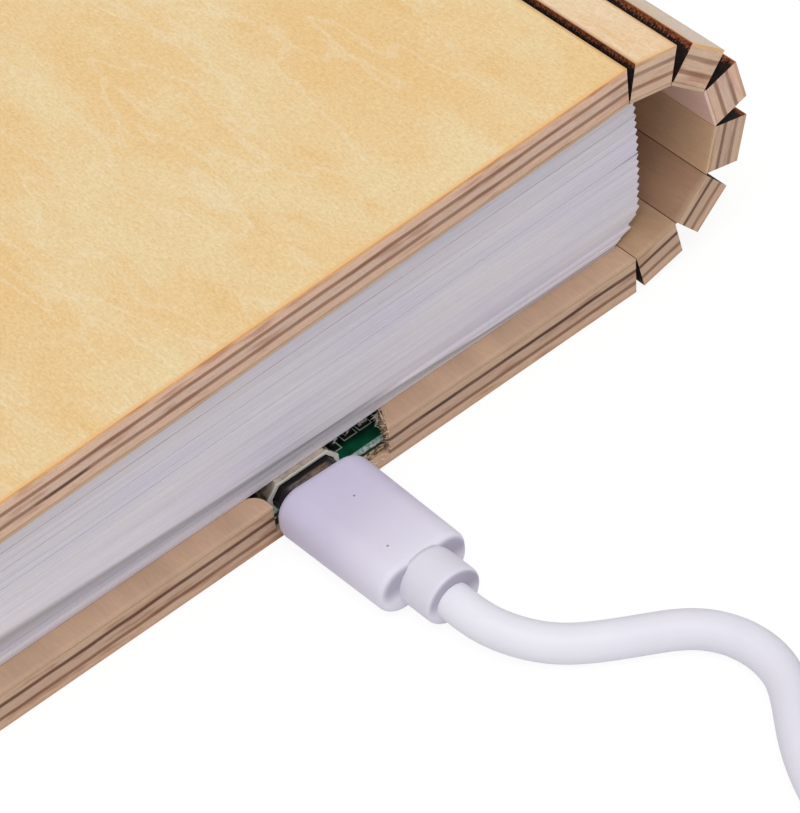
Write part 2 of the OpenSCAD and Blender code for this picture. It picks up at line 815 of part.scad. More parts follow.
front_leaf(9);  // front_leaf_9
front_leaf(10);  // front_leaf_10
plug_tip();
plug_body();
plug_collar();
cable();
cable_coil();
cable_tail();
cable_tie();
usb_a_grip();
usb_a_shell();
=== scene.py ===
"""Looks of the folding book lamp: plywood covers and hinged slats, a fan of folded paper, the
charging port with its plug, and the cable. Lengths are written in millimetres and set in metres."""

import logging
import math
from dataclasses import dataclass
from enum import Enum
from typing import Iterable, Optional, Sequence, Union

import bmesh
import bpy
from mathutils import Matrix, Vector


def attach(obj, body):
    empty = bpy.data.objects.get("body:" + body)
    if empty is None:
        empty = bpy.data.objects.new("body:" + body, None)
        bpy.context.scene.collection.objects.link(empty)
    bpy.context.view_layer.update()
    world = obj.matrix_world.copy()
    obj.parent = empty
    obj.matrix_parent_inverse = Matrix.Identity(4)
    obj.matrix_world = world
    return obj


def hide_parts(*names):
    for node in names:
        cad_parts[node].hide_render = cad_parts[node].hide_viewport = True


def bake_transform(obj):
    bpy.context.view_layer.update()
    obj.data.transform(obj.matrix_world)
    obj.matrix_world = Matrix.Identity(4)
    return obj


LOG = logging.getLogger("book_lamp")
MM = 0.001
PLUG_AXIS = (-7.244, 2.95)      # the plug's axis across the spine and up, in mm
SOCKET_MOUTH = -59.3            # where the socket opens, along the spine
COLLAR_BACK = -78.7             # where the plug's collar ends, along the spine
Colour = tuple[float, float, float, float]
Socket = bpy.types.NodeSocket
Value = Union[Socket, float, int, tuple, Vector]

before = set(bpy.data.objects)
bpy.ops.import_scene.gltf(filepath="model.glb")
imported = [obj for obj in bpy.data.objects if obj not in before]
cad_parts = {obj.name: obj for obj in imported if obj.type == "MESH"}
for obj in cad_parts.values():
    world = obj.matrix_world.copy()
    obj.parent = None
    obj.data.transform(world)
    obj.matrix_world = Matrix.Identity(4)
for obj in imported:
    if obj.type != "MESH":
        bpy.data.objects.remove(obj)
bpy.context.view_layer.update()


def srgb(red: int, green: int, blue: int) -> Colour:
    """A screen colour in 0 to 255, as linear light."""
    def linear(level: int) -> float:
        """One channel as linear light."""
        part = level / 255
        return part / 12.92 if part <= 0.04045 else ((part + 0.055) / 1.055) ** 2.4
    return (linear(red), linear(green), linear(blue), 1.0)


def link(piece: bpy.types.Object) -> None:
    """Puts an object in the scene."""
    bpy.context.scene.collection.objects.link(piece)


# ---- Frames of the folded body -----------------------------------------------------------------


@dataclass(frozen=True)
class Panel:
    """A flat part of the body with a frame of its own: x runs from its fold, z = 0 is its inner face.

    Args:
        origin: place of the fold, in metres.
        turn: how far the panel is turned about Y, in degrees.
    """

    origin: Vector
    turn: float

    @property
    def along(self) -> Vector:
        """Direction of the panel's x."""
        return Vector((math.cos(math.radians(self.turn)), 0, math.sin(math.radians(self.turn))))

    @property
    def inward(self) -> Vector:
        """Direction of the panel's z, towards the pages."""
        return Vector((-math.sin(math.radians(self.turn)), 0, math.cos(math.radians(self.turn))))

    def place(self, x: float, y: float, z: float) -> Vector:
        """A point of the panel's frame in millimetres, as a point of the row frame in metres."""
        return self.origin + (self.along * x + Vector((0, y, 0)) + self.inward * z) * MM


@dataclass(frozen=True)
class FoldedSpine:
    """The chain of panels: 0 is the back cover, 1 to 6 are the slats and 7 is the front cover."""

    turns: tuple[float, ...] = (12.9, 28.7, 34.7, 29.7, 34.7, 28.7, 12.9)
    pitch: float = 5.15
    cut_gap: float = 0.1
    cover_total: float = 4.2
    cover_height: float = 122
    hinge_x: float = 31.156
    head_y: float = -61

    def total_turn(self, count: int) -> float:
        """Sum of the first turns, in degrees."""
        return sum(self.turns[:count])

    def fold_point(self, count: int) -> tuple[float, float]:
        """Place of a fold across the book and up, in millimetres from the back cover's fold."""
        x, z = 0.0, 0.0
        for k in range(1, count + 1):
            x += self.pitch * math.cos(math.radians(self.total_turn(k)))
            z += self.pitch * math.sin(math.radians(self.total_turn(k)))
        return x, z

    def panel(self, k: int) -> Panel:
        """Frame of the k-th panel of the chain."""
        x, z = self.fold_point(max(0, k - 1))
        origin = Vector((self.hinge_x + x, self.head_y, self.cover_total + z)) * MM
        return Panel(origin, self.total_turn(k))

    @property
    def taper(self) -> float:
        """How far the covers lean together towards the fore edge, in degrees."""
        return self.total_turn(len(self.turns)) - 180


SPINE = FoldedSpine()
BACK = SPINE.panel(0)
FRONT = SPINE.panel(7)


# ---- Node trees --------------------------------------------------------------------------------


class Graph:
    """Adds nodes to a node tree and joins them, for materials and geometry alike."""

    def __init__(self, tree: bpy.types.NodeTree) -> None:
        """Keeps the tree that the nodes go into."""
        self.tree = tree

    def node(self, kind: str, feeds: Optional[dict] = None, **settings: object) -> bpy.types.Node:
        """Adds a node.

        Args:
            kind: the node's type name.
            feeds: value or socket for each input, by name or number.
            settings: the node's own settings.

        Returns:
            The new node.
        """
        made = self.tree.nodes.new(kind)
        for name, value in settings.items():
            setattr(made, name, value)
        for name, value in (feeds or {}).items():
            self.feed(made.inputs[name], value)
        return made

    def feed(self, socket: Socket, value: Value) -> None:
        """Joins a socket to an input, or writes a constant on it."""
        if isinstance(value, bpy.types.NodeSocket):
            self.tree.links.new(value, socket)
        else:
            socket.default_value = value

    def math(self, operation: str, *values: Value, clamp: bool = False) -> Socket:
        """One scalar operation."""
        made = self.node("ShaderNodeMath", operation=operation, use_clamp=clamp)
        for socket, value in zip(made.inputs, values):
            self.feed(socket, value)
        return made.outputs[0]

    def vector(self, operation: str, *values: Value) -> Socket:
        """One vector operation; a dot product or length gives a number."""
        made = self.node("ShaderNodeVectorMath", operation=operation)
        for socket, value in zip(made.inputs, values):
            self.feed(socket, value)
        return made.outputs["Value" if operation in ("DOT_PRODUCT", "LENGTH") else "Vector"]

    def split(self, value: Socket) -> tuple[Socket, Socket, Socket]:
        """The three parts of a vector."""
        made = self.node("ShaderNodeSeparateXYZ", {0: value})
        return made.outputs[0], made.outputs[1], made.outputs[2]

    def join(self, x: Value, y: Value, z: Value) -> Socket:
        """A vector from three parts."""
        return self.node("ShaderNodeCombineXYZ", {0: x, 1: y, 2: z}).outputs[0]

    def band(self, value: Value, low: float, high: float) -> Socket:
        """0 below low and 1 above high, with a soft step between them; low may be the larger."""
        made = self.node("ShaderNodeMapRange", {"Value": value, "From Min": low, "From Max": high},
                         interpolation_type="SMOOTHSTEP")
        return made.outputs[0]

    def noise(self, place: Socket, scale: tuple[float, float, float], shift: float = 0.0,
              detail: float = 2.0, rough: float = 0.5) -> Socket:
        """Smooth noise from 0 to 1, with a scale of its own along each axis."""
        scaled = self.vector("MULTIPLY_ADD", place, scale, (shift, shift * 0.7, shift * 1.3))
        feeds = {"Vector": scaled, "Scale": 1.0, "Detail": detail, "Roughness": rough}
        return self.node("ShaderNodeTexNoise", feeds).outputs["Fac"]

    def scaled(self, value: Value, factor: Value, base: Value) -> Socket:
        """A value times a factor, plus a base."""
        return self.math("MULTIPLY_ADD", value, factor, base)

    def away(self, value: Value, place: Value) -> Socket:
        """Distance of a value from a place."""
        return self.math("ABSOLUTE", self.math("SUBTRACT", value, place))

    def shade(self, colour: Value, level: Socket) -> Socket:
        """Darkens a colour to a level, where 1 keeps it."""
        return self.mix(1.0, colour, self.join(level, level, level), "MULTIPLY")

    def tint(self, colour: Value, share: Value, strength: float, tone: Value,
             blend: str = "MIX") -> Socket:
        """Lays a tone over a colour, at its strength where the share is 1."""
        return self.mix(self.math("MULTIPLY", share, strength), colour, tone, blend)

    def mix(self, share: Value, first: Value, second: Value, blend: str = "MIX") -> Socket:
        """Mixes two colours."""
        made = self.node("ShaderNodeMix", data_type="RGBA", blend_type=blend)
        for name, value in (("Factor_Float", share), ("A_Color", first), ("B_Color", second)):
            self.feed(next(s for s in made.inputs if s.identifier == name), value)
        return next(s for s in made.outputs if s.identifier == "Result_Color")

    def ramp(self, share: Socket, stops: Sequence[tuple[float, Colour]]) -> Socket:
        """A colour ramp with the given stops."""
        made = self.node("ShaderNodeValToRGB", {0: share})
        elements = made.color_ramp.elements
        while len(elements) < len(stops):
            elements.new(0.5)
        for element, (place, colour) in zip(elements, sorted(stops)):
            element.position = place
            element.color = colour
        return made.outputs[0]


def blank_graph(owner: Union[bpy.types.Material, bpy.types.World]) -> Graph:
    """Gives a material or world an empty node tree, and returns its graph."""
    owner.use_nodes = True
    owner.node_tree.nodes.clear()
    return Graph(owner.node_tree)


@dataclass(frozen=True)
class Surface:
    """What a finish hands to the shader.

    Args:
        colour: base colour, or the socket that gives it.
        rough: roughness.
        height: bump height, or None for a plain face.
        depth: bump depth in millimetres.
        metal: metallic share.
        gloss: specular level.
        coat: weight of a clear coat.
    """

    colour: Value
    rough: Value = 0.5
    height: Optional[Socket] = None
    depth: float = 0.02
    metal: Value = 0.0
    gloss: float = 0.5
    coat: float = 0.0


class Finish:
    """A procedural material. A finish says its colours in paint(), on coordinates in millimetres."""

    def paint(self, graph: Graph, place: Socket, normal: Socket) -> Surface:
        """Builds the colour and relief.

        Args:
            graph: the material's nodes.
            place: object coordinates in millimetres, in the finish's own frame.
            normal: the face's direction, in the row frame.

        Returns:
            What goes to the shader.
        """
        raise NotImplementedError

    def home(self) -> Panel:
        """Frame of the pattern; the row frame itself unless a finish has a panel."""
        return Panel(Vector((0, 0, 0)), 0.0)

    def build(self, name: str) -> bpy.types.Material:
        """Makes the material.

        Args:
            name: the material's name.

        Returns:
            The material.
        """
        made = bpy.data.materials.new(name)
        graph = blank_graph(made)
        coordinates = graph.node("ShaderNodeTexCoord")
        panel = self.home()
        mapping = graph.node("ShaderNodeMapping", {
            "Vector": coordinates.outputs["Object"], "Location": panel.origin,
            "Rotation": (0, -math.radians(panel.turn), 0), "Scale": (MM, MM, MM)},
            vector_type="TEXTURE")
        surface = self.paint(graph, mapping.outputs[0], coordinates.outputs["Normal"])
        feeds = {"Base Color": surface.colour, "Roughness": surface.rough,
                 "Metallic": surface.metal, "Specular IOR Level": surface.gloss,
                 "Coat Weight": surface.coat}
        if surface.height is not None:
            bump = graph.node("ShaderNodeBump", {"Height": surface.height, "Strength": 0.7,
                                                 "Distance": surface.depth * MM})
            feeds["Normal"] = bump.outputs[0]
        shader = graph.node("ShaderNodeBsdfPrincipled", feeds)
        graph.node("ShaderNodeOutputMaterial", {"Surface": shader.outputs[0]})
        return made


# ---- Wood --------------------------------------------------------------------------------------


@dataclass(frozen=True)
class Scorch:
    """A charred stretch of a glue line: its middle and half length along the panel's x, in mm."""

    middle: float
    reach: float


@dataclass(frozen=True)
class Plies:
    """Tones of the plywood's cut edge, from the outer face to the lining.

    Args:
        skin: the outermost veneer.
        light: the wide light plies.
        outer_line: the dark ply nearer the outer face.
        inner_line: the dark ply nearer the lining.
        deep: the light ply under the lining.
        rim: edge of the outer face.
        outer_depth: depth of the outer line's middle in mm.
    """

    skin: Colour = srgb(235, 195, 169)
    light: Colour = srgb(223, 189, 167)
    outer_line: Colour = srgb(166, 122, 95)
    inner_line: Colour = srgb(164, 122, 98)
    deep: Colour = srgb(226, 188, 162)
    rim: Colour = srgb(244, 186, 122)
    outer_depth: float = 1.42

    def stops(self) -> list[tuple[float, Colour]]:
        """Colour stops by depth, where 1 is the lining's face."""
        at = self.outer_depth
        places = [(0.0, self.rim), (0.2, self.rim), (0.42, self.skin), (at - 0.28, self.skin),
                  (at - 0.15, self.outer_line), (at + 0.13, self.outer_line), (at + 0.28, self.light),
                  (2.46, self.light), (2.6, self.inner_line), (2.88, self.inner_line),
                  (3.03, self.deep), (3.72, self.deep), (3.86, srgb(186, 150, 108))]
        return [(depth / SPINE.cover_total, tone) for depth, tone in places]


@dataclass(frozen=True)
class BirchPly(Finish):
    """Laser-cut birch plywood of one panel, with its plies in the panel's own depth.

    Args:
        panel: the panel's frame.
        seed: shifts the figure, so that no two panels match.
        folds: places along x where the panel ends in a charred V cut.
        edge: tones of its plies.
        scorches: darker stretches of the inner glue line.
        painted_reflection: painted reflection of the white surroundings, as a colour cast on the outer
            face.
    """

    panel: Panel
    seed: float
    folds: tuple[float, ...]
    edge: Plies = Plies()
    scorches: tuple[Scorch, ...] = ()
    painted_reflection: Colour = (1.0, 1.0, 1.0, 1.0)

    def home(self) -> Panel:
        """The panel's own frame."""
        return self.panel

    def plies(self, graph: Graph, place: Socket) -> Socket:
        """Colour of the cut edge, by the depth from the outer face."""
        x, _, z = graph.split(place)
        sway = graph.noise(place, (0.13, 0.13, 0.05), self.seed, 2.0)
        sway = graph.scaled(sway, 0.26, SPINE.cover_total - 0.13)
        depth = graph.math("DIVIDE", graph.math("ADD", z, sway), SPINE.cover_total)
        colour = graph.ramp(depth, self.edge.stops())
        streak = graph.noise(place, (0.5, 0.5, 6.5), self.seed + 3, 3.0, 0.65)
        pores = graph.noise(place, (5.0, 5.0, 8.0), self.seed + 7, 2.0, 0.7)
        level = graph.scaled(streak, 0.5, graph.scaled(pores, 0.34, 0.58))
        colour = graph.shade(colour, level)
        stain = graph.noise(place, (0.2, 0.2, 1.4), self.seed + 11, 2.0)
        colour = graph.tint(colour, graph.band(stain, 0.5, 0.72), 0.6, srgb(205, 168, 148),
                            "MULTIPLY")
        for spot in self.scorches:
            far = graph.away(x, spot.middle)
            ragged = graph.noise(place, (0.9, 0.9, 2.0), self.seed + 17, 2.0)
            far = graph.scaled(ragged, spot.reach * 0.9, far)
            on_line = graph.math("MULTIPLY", graph.band(depth, 0.6, 0.63), graph.band(depth, 0.71, 0.67))
            share = graph.math("MULTIPLY", on_line, graph.band(far, spot.reach * 1.4, spot.reach * 0.9))
            colour = graph.tint(colour, share, 0.85, srgb(66, 38, 24))
        return colour

    def figure(self, graph: Graph, place: Socket) -> tuple[Socket, Socket]:
        """Colour and fibre of the outer face; the grain runs along the spine."""
        cloud = graph.noise(place, (0.11, 0.045, 0.05), self.seed, 4.0, 0.6)
        colour = graph.mix(graph.band(cloud, 0.34, 0.66), srgb(239, 214, 166), srgb(238, 200, 142))
        patch = graph.noise(place, (0.4, 0.16, 0.1), self.seed + 5, 3.0, 0.6)
        colour = graph.tint(colour, graph.band(patch, 0.58, 0.76), 0.5, srgb(234, 189, 122))
        contour = graph.noise(place, (0.12, 0.03, 0.05), self.seed + 9, 3.0, 0.6)
        near = graph.away(contour, 0.5)
        colour = graph.tint(colour, graph.band(near, 0.02, 0.0), 0.35, srgb(243, 224, 190))
        fibre = graph.noise(place, (3.6, 1.0, 1.0), self.seed + 13, 4.0, 0.75)
        flecks = graph.noise(place, (4.4, 2.3, 1.0), self.seed + 23, 3.0, 0.8)
        level = graph.scaled(fibre, 0.42, graph.scaled(flecks, 0.62, 0.48))
        warm = graph.join(graph.scaled(level, 0.72, 0.28), level, graph.scaled(level, 1.3, -0.32))
        colour = graph.mix(1.0, colour, warm, "MULTIPLY")
        return colour, fibre

    def wall(self, graph: Graph, place: Socket) -> Socket:
        """Colour of the charred walls of the V cuts, with a row of brown dots under the upper edge."""
        _, y, z = graph.split(place)
        depth = graph.math("ADD", z, SPINE.cover_total)
        soot = graph.noise(place, (1.6, 2.4, 2.4), self.seed + 19, 3.0, 0.7)
        colour = graph.mix(graph.band(soot, 0.42, 0.8), srgb(12, 7, 6), srgb(58, 32, 22))
        pulses = graph.math("SINE", graph.math("MULTIPLY", y, 19.0))
        burnt = graph.noise(place, (3.4, 4.6, 5.0), self.seed + 29, 3.0, 0.7)
        deep = graph.scaled(pulses, 0.1, graph.scaled(burnt, 1.5, -0.25))
        ember = graph.mix(graph.band(burnt, 0.4, 0.62), srgb(84, 38, 24), srgb(158, 90, 56))
        colour = graph.mix(graph.band(graph.math("SUBTRACT", depth, deep), 0.16, -0.1), colour, ember)
        return graph.mix(graph.band(depth, 0.13, 0.04), colour, srgb(205, 138, 86))

    def paint(self, graph: Graph, place: Socket, normal: Socket) -> Surface:
        """Edge, face and V walls, told apart by the way a face looks."""
        x, y, _ = graph.split(place)
        outward = graph.math("GREATER_THAN",
                             graph.vector("DOT_PRODUCT", normal, -self.panel.inward), 0.6)
        sideways = graph.math("ABSOLUTE", graph.vector("DOT_PRODUCT", normal, self.panel.along))
        sideways = graph.math("GREATER_THAN", sideways, 0.6)
        face, fibre = self.figure(graph, place)
        # Painted reflection: the outer face's colour is cast towards the white surroundings that it
        # mirrors at a grazing angle.
        face = graph.mix(1.0, face, self.painted_reflection, "MULTIPLY")
        far = graph.math("MINIMUM", y, graph.math("SUBTRACT", SPINE.cover_height, y))
        face = graph.tint(face, graph.band(far, 0.6, 0.05), 0.75, self.edge.rim)
        colour = graph.mix(outward, self.plies(graph, place), face)
        rough = graph.scaled(fibre, 0.3, 0.34)
        for fold in self.folds:
            near = graph.away(x, fold)
            at_fold = graph.math("LESS_THAN", near, 0.4)
            burnt = graph.math("MULTIPLY", at_fold, sideways)
            colour = graph.mix(burnt, colour, self.wall(graph, place))
            scorched = graph.math("MULTIPLY", graph.band(near, 0.42, 0.04), outward)
            colour = graph.tint(colour, scorched, 0.7, srgb(203, 150, 98))
            rough = graph.math("MAXIMUM", rough, burnt)
        return Surface(colour, rough=rough, height=fibre, depth=0.03, gloss=0.35)


@dataclass(frozen=True)
class WoodLining(Finish):
    """Smooth tan lining of one panel, with painted shade along its folds.

    Args:
        panel: the panel's frame.
        seed: shifts the grain.
        folds: places along x of its folds, each drawn with a thin dark line of painted shade.
        tone: its colour.
    """

    panel: Panel
    seed: float
    folds: tuple[float, ...]
    tone: Colour = srgb(206, 171, 144)

    def home(self) -> Panel:
        """The panel's own frame."""
        return self.panel

    def paint(self, graph: Graph, place: Socket, normal: Socket) -> Surface:
        """Cloudy tan with fine grain, pale at the cut ends, with painted shade at the folds."""
        x, y, _ = graph.split(place)
        cloud = graph.noise(place, (0.4, 0.09, 0.1), self.seed, 3.0)
        dull = tuple(0.87 * part for part in self.tone[:3]) + (1.0,)
        colour = graph.mix(graph.band(cloud, 0.3, 0.7), self.tone, dull)
        fibre = graph.noise(place, (4.6, 0.6, 1.0), self.seed + 5, 3.0, 0.65)
        level = graph.scaled(fibre, 0.3, 0.85)
        colour = graph.shade(colour, level)
        far = graph.math("MINIMUM", y, graph.math("SUBTRACT", SPINE.cover_height, y))
        colour = graph.tint(colour, graph.band(far, 0.5, 0.1), 0.14, srgb(238, 208, 180))
        # Painted shade: a thin dark line along each fold stands in for the shade in its crease.
        for fold in self.folds:
            near = graph.away(x, fold)
            colour = graph.tint(colour, graph.band(near, 0.09, 0.03), 0.9, srgb(72, 44, 30))
        return Surface(colour, rough=0.6, height=fibre, depth=0.02, gloss=0.3)


# ---- Other finishes ----------------------------------------------------------------------------


class OnBackCover(Finish):
    """A finish whose pattern lies in the back cover's frame."""

    def home(self) -> Panel:
        """The back cover's frame."""
        return BACK


@dataclass(frozen=True)
class PagePaper(Finish):
    """Matt white paper with a cool tint; its cut edges carry faint lines of painted shade between the
    sheets.

    Args:
        seed: shifts the lines.
        foot_shade: painted shade of the lowest sheets' cut edges and of the faces near the head, by height
            over the back cover, where 1 is the groove over the endpaper.
        head: place of the head edge along the spine in mm.
    """

    seed: float = 0.0
    foot_shade: tuple[tuple[float, float], ...] = (
        (0.0, 0.95), (0.12, 1.02), (0.3, 1.0), (0.46, 0.88), (0.67, 0.76), (0.87, 0.67), (1.08, 0.57),
        (1.2, 0.7), (1.4, 1.05), (2.4, 1.05), (2.8, 1.0))
    head: float = -58.55

    def paint(self, graph: Graph, place: Socket, normal: Socket) -> Surface:
        """Soft fibre, long thin lines of painted shade on the cut edges, and painted shade with a painted
        contact shadow on the lowest sheets.
        """
        x, y, z = graph.split(place)
        _, across, _ = graph.split(normal)
        edge = graph.math("GREATER_THAN", graph.math("ABSOLUTE", across), 0.6)
        cloud = graph.noise(place, (0.06, 0.06, 0.3), self.seed, 2.0)
        colour = graph.mix(graph.band(cloud, 0.3, 0.7), srgb(226, 221, 232), srgb(232, 226, 230))
        # Painted shade: faint dark and light lines on the cut edges stand in for the shade between the
        # sheets.
        lines = graph.noise(place, (0.03, 0.2, 3.4), self.seed + 3, 4.0, 0.65)
        level = graph.scaled(lines, 0.4, 0.8)
        lined = graph.shade(colour, level)
        ledge = SPINE.cover_total
        groove = graph.math("MAXIMUM", graph.scaled(x, -0.0355, 1.0), 0.3)
        height = graph.math("DIVIDE", graph.math("SUBTRACT", z, ledge), groove)
        last = self.foot_shade[-1][0]
        stops = [(at / last, (shade, shade, shade * 1.01, 1.0)) for at, shade in self.foot_shade]
        # Painted contact shadow: a thin brown line where the lowest sheets meet the back cover's lining.
        foot_shade = graph.band(z, ledge + 0.09, ledge + 0.03)
        lined = graph.tint(lined, foot_shade, 0.75, srgb(116, 80, 62))
        fibre = graph.noise(place, (1.6, 1.6, 1.6), self.seed + 7, 3.0, 0.7)
        colour = graph.mix(edge, colour, lined)
        # Painted shade of the groove over the endpaper, laid on every face near the head.
        shade = graph.ramp(graph.math("DIVIDE", height, last), stops)
        at_head = graph.band(y, self.head + 0.9, self.head + 0.6)
        colour = graph.mix(at_head, colour, graph.mix(1.0, colour, shade, "MULTIPLY"))
        return Surface(colour, rough=0.9, height=fibre, depth=0.02, gloss=0.15)


@dataclass(frozen=True)
class WornMetal(Finish):
    """Stamped, plated sheet metal, dulled by fine scratches.

    Args:
        tone: colour of the plating.
        rough: its roughness.
        metal: how metallic it is.
        rim_highlight: colour of a painted highlight on the rim of a mouth.
        mouth: place of that rim along the spine in mm.
        stained: how much darker its stains are.
    """

    tone: Colour
    rough: float = 0.4
    metal: float = 1.0
    rim_highlight: Optional[Colour] = None
    mouth: float = 0.0
    stained: float = 0.38

    def paint(self, graph: Graph, place: Socket, normal: Socket) -> Surface:
        """Stains and scratches in the plating; the sheet's front edge may carry a painted highlight."""
        metal = self.metal
        stain = graph.noise(place, (0.9, 0.9, 0.9), 2.0, 3.0, 0.6)
        dull = tuple((1 - self.stained) * part for part in self.tone[:3]) + (1.0,)
        colour = graph.mix(graph.band(stain, 0.35, 0.75), self.tone, dull)
        if self.rim_highlight is not None:
            _, y, _ = graph.split(place)
            # Painted highlight on the rim of the mouth; the metal is turned down there so that its bright
            # colour shows.
            share = graph.band(y, self.mouth + 0.11, self.mouth + 0.06)
            colour = graph.mix(share, colour, self.rim_highlight)
            metal = graph.scaled(share, -0.8 * self.metal, self.metal)
        scratch = graph.noise(place, (1.5, 14.0, 9.0), 5.0, 2.0)
        rough = graph.scaled(scratch, 0.25, self.rough - 0.1)
        return Surface(colour, rough=rough, height=scratch, depth=0.006, metal=metal)


@dataclass(frozen=True)
class ShadedTipPlating(Finish):
    """Plating of the plug tip: brown and golden streaks, painted shade at its sides, a painted shadow at
    the mouth.

    Args:
        mouth: place of the socket's mouth along the spine in mm.
        middle: place of the tip's middle across the spine in mm.
    """

    mouth: float = SOCKET_MOUTH
    middle: float = PLUG_AXIS[0]

    def paint(self, graph: Graph, place: Socket, normal: Socket) -> Surface:
        """Streaks drawn out across the tip, painted shade along its sides and a painted shadow at the
        mouth.
        """
        x, y, _ = graph.split(place)
        stain = graph.noise(place, (0.8, 2.6, 1.0), 6.0, 3.0, 0.7)
        colour = graph.mix(graph.band(stain, 0.38, 0.7), srgb(70, 58, 62), srgb(150, 140, 134))
        warm = graph.noise(place, (0.55, 1.4, 0.6), 14.0, 2.0)
        colour = graph.tint(colour, graph.band(warm, 0.5, 0.66), 0.5, srgb(150, 112, 72))
        # Painted shade along the tip's sides, where it lies in the gap beside the socket's shell.
        aside = graph.away(x, self.middle)
        colour = graph.mix(graph.band(aside, 1.9, 2.5), colour, srgb(56, 46, 56))
        # Painted shadow, near black, under the socket's rim at its mouth.
        colour = graph.mix(graph.band(y, self.mouth - 0.7, self.mouth - 0.4), colour, srgb(20, 15, 15))
        rough = graph.scaled(stain, 0.2, 0.34)
        return Surface(colour, rough=rough, height=stain, depth=0.01, metal=0.55)


@dataclass(frozen=True)
class Moulding(Finish):
    """Moulded plastic or rubber with a fine satin grain and small cloudy stains."""

    tone: Colour
    rough: float = 0.45
    grain: float = 0.012
    gloss: float = 0.4

    def paint(self, graph: Graph, place: Socket, normal: Socket) -> Surface:
        """Fine grain and faint stains."""
        cloud = graph.noise(place, (0.25, 0.25, 0.25), 4.0, 2.0)
        level = graph.scaled(cloud, 0.08, 0.96)
        colour = graph.shade(self.tone, level)
        grain = graph.noise(place, (6.0, 6.0, 6.0), 1.0, 2.0)
        rough = graph.scaled(cloud, 0.12, self.rough - 0.06)
        return Surface(colour, rough=rough, height=grain, depth=self.grain, gloss=self.gloss)


@dataclass(frozen=True)
class SatinMoulding(Finish):
    """Soft white moulding with a lavender cast, with painted shade that changes along the part and on
    its upper end faces, painted light from the floor below, and a few tiny pits.

    Args:
        near: tone at the port's end, one end of the painted shade along the part.
        far: tone at the cable's end, the other end of that painted shade.
        end: painted shade of the upper faces that look along the cable.
        shade: painted light from the floor on the undersides and the lower end faces.
        span: where the tones change, along the spine in mm.
        pits: places of the pits, across and along the spine in mm.
    """

    near: Colour
    far: Colour
    end: Colour
    shade: Colour
    span: tuple[float, float]
    pits: tuple[tuple[float, float], ...] = ()

    def paint(self, graph: Graph, place: Socket, normal: Socket) -> Surface:
        """Painted shade and light by place and by the way the face looks, with a fine grain."""
        x, y, z = graph.split(place)
        _, along, up = graph.split(normal)
        # Painted shade that changes along the part.
        colour = graph.mix(graph.band(y, self.span[0], self.span[1]), self.near, self.far)
        # Painted light from the floor on the undersides.
        colour = graph.tint(colour, graph.band(up, 0.0, -0.95), 0.7, self.shade)
        # Painted shade on the upper end faces, painted floor light on the lower ones.
        ends = graph.band(graph.math("MULTIPLY", along, -1), 0.55, 0.98)
        colour = graph.mix(ends, colour, graph.mix(graph.band(z, 3.9, 2.0), self.end, self.shade))
        cloud = graph.noise(place, (0.3, 0.3, 0.3), 4.0, 3.0)
        level = graph.scaled(cloud, 0.07, 0.965)
        colour = graph.shade(colour, level)
        for pit in self.pits:
            away = graph.vector("SUBTRACT", graph.join(x, y, 0.0), (*pit, 0.0))
            away = graph.vector("LENGTH", away)
            colour = graph.tint(colour, graph.band(away, 0.15, 0.05), 0.8, srgb(96, 84, 92))
        grain = graph.noise(place, (5.0, 5.0, 5.0), 1.0, 3.0)
        rough = graph.scaled(cloud, 0.14, 0.38)
        return Surface(colour, rough=rough, height=grain, depth=0.012, gloss=0.35)


@dataclass(frozen=True)
class EndCapped(OnBackCover):
    """Small chip components: dark bodies with plated ends that carry painted glints, by their place on the
    board.
    """

    near_end: float
    far_end: float
    cap: float = 0.32

    def paint(self, graph: Graph, place: Socket, normal: Socket) -> Surface:
        """Plated within the cap of either end, with painted glints, dark between them."""
        _, y, _ = graph.split(place)
        middle = (self.near_end + self.far_end) / 2
        half = (self.far_end - self.near_end) / 2 - self.cap
        away = graph.away(y, middle)
        plated = graph.band(away, half - 0.04, half + 0.04)
        grain = graph.noise(place, (1.5, 1.5, 1.5), 2.0, 2.0)
        dark = graph.mix(graph.band(grain, 0.3, 0.7), srgb(30, 24, 22), srgb(58, 44, 36))
        # Painted highlight: small white glints on the plated caps.
        pale = graph.mix(graph.band(grain, 0.47, 0.53), srgb(48, 42, 38), srgb(252, 252, 248))
        return Surface(graph.mix(plated, dark, pale), rough=0.42, height=grain, depth=0.01)


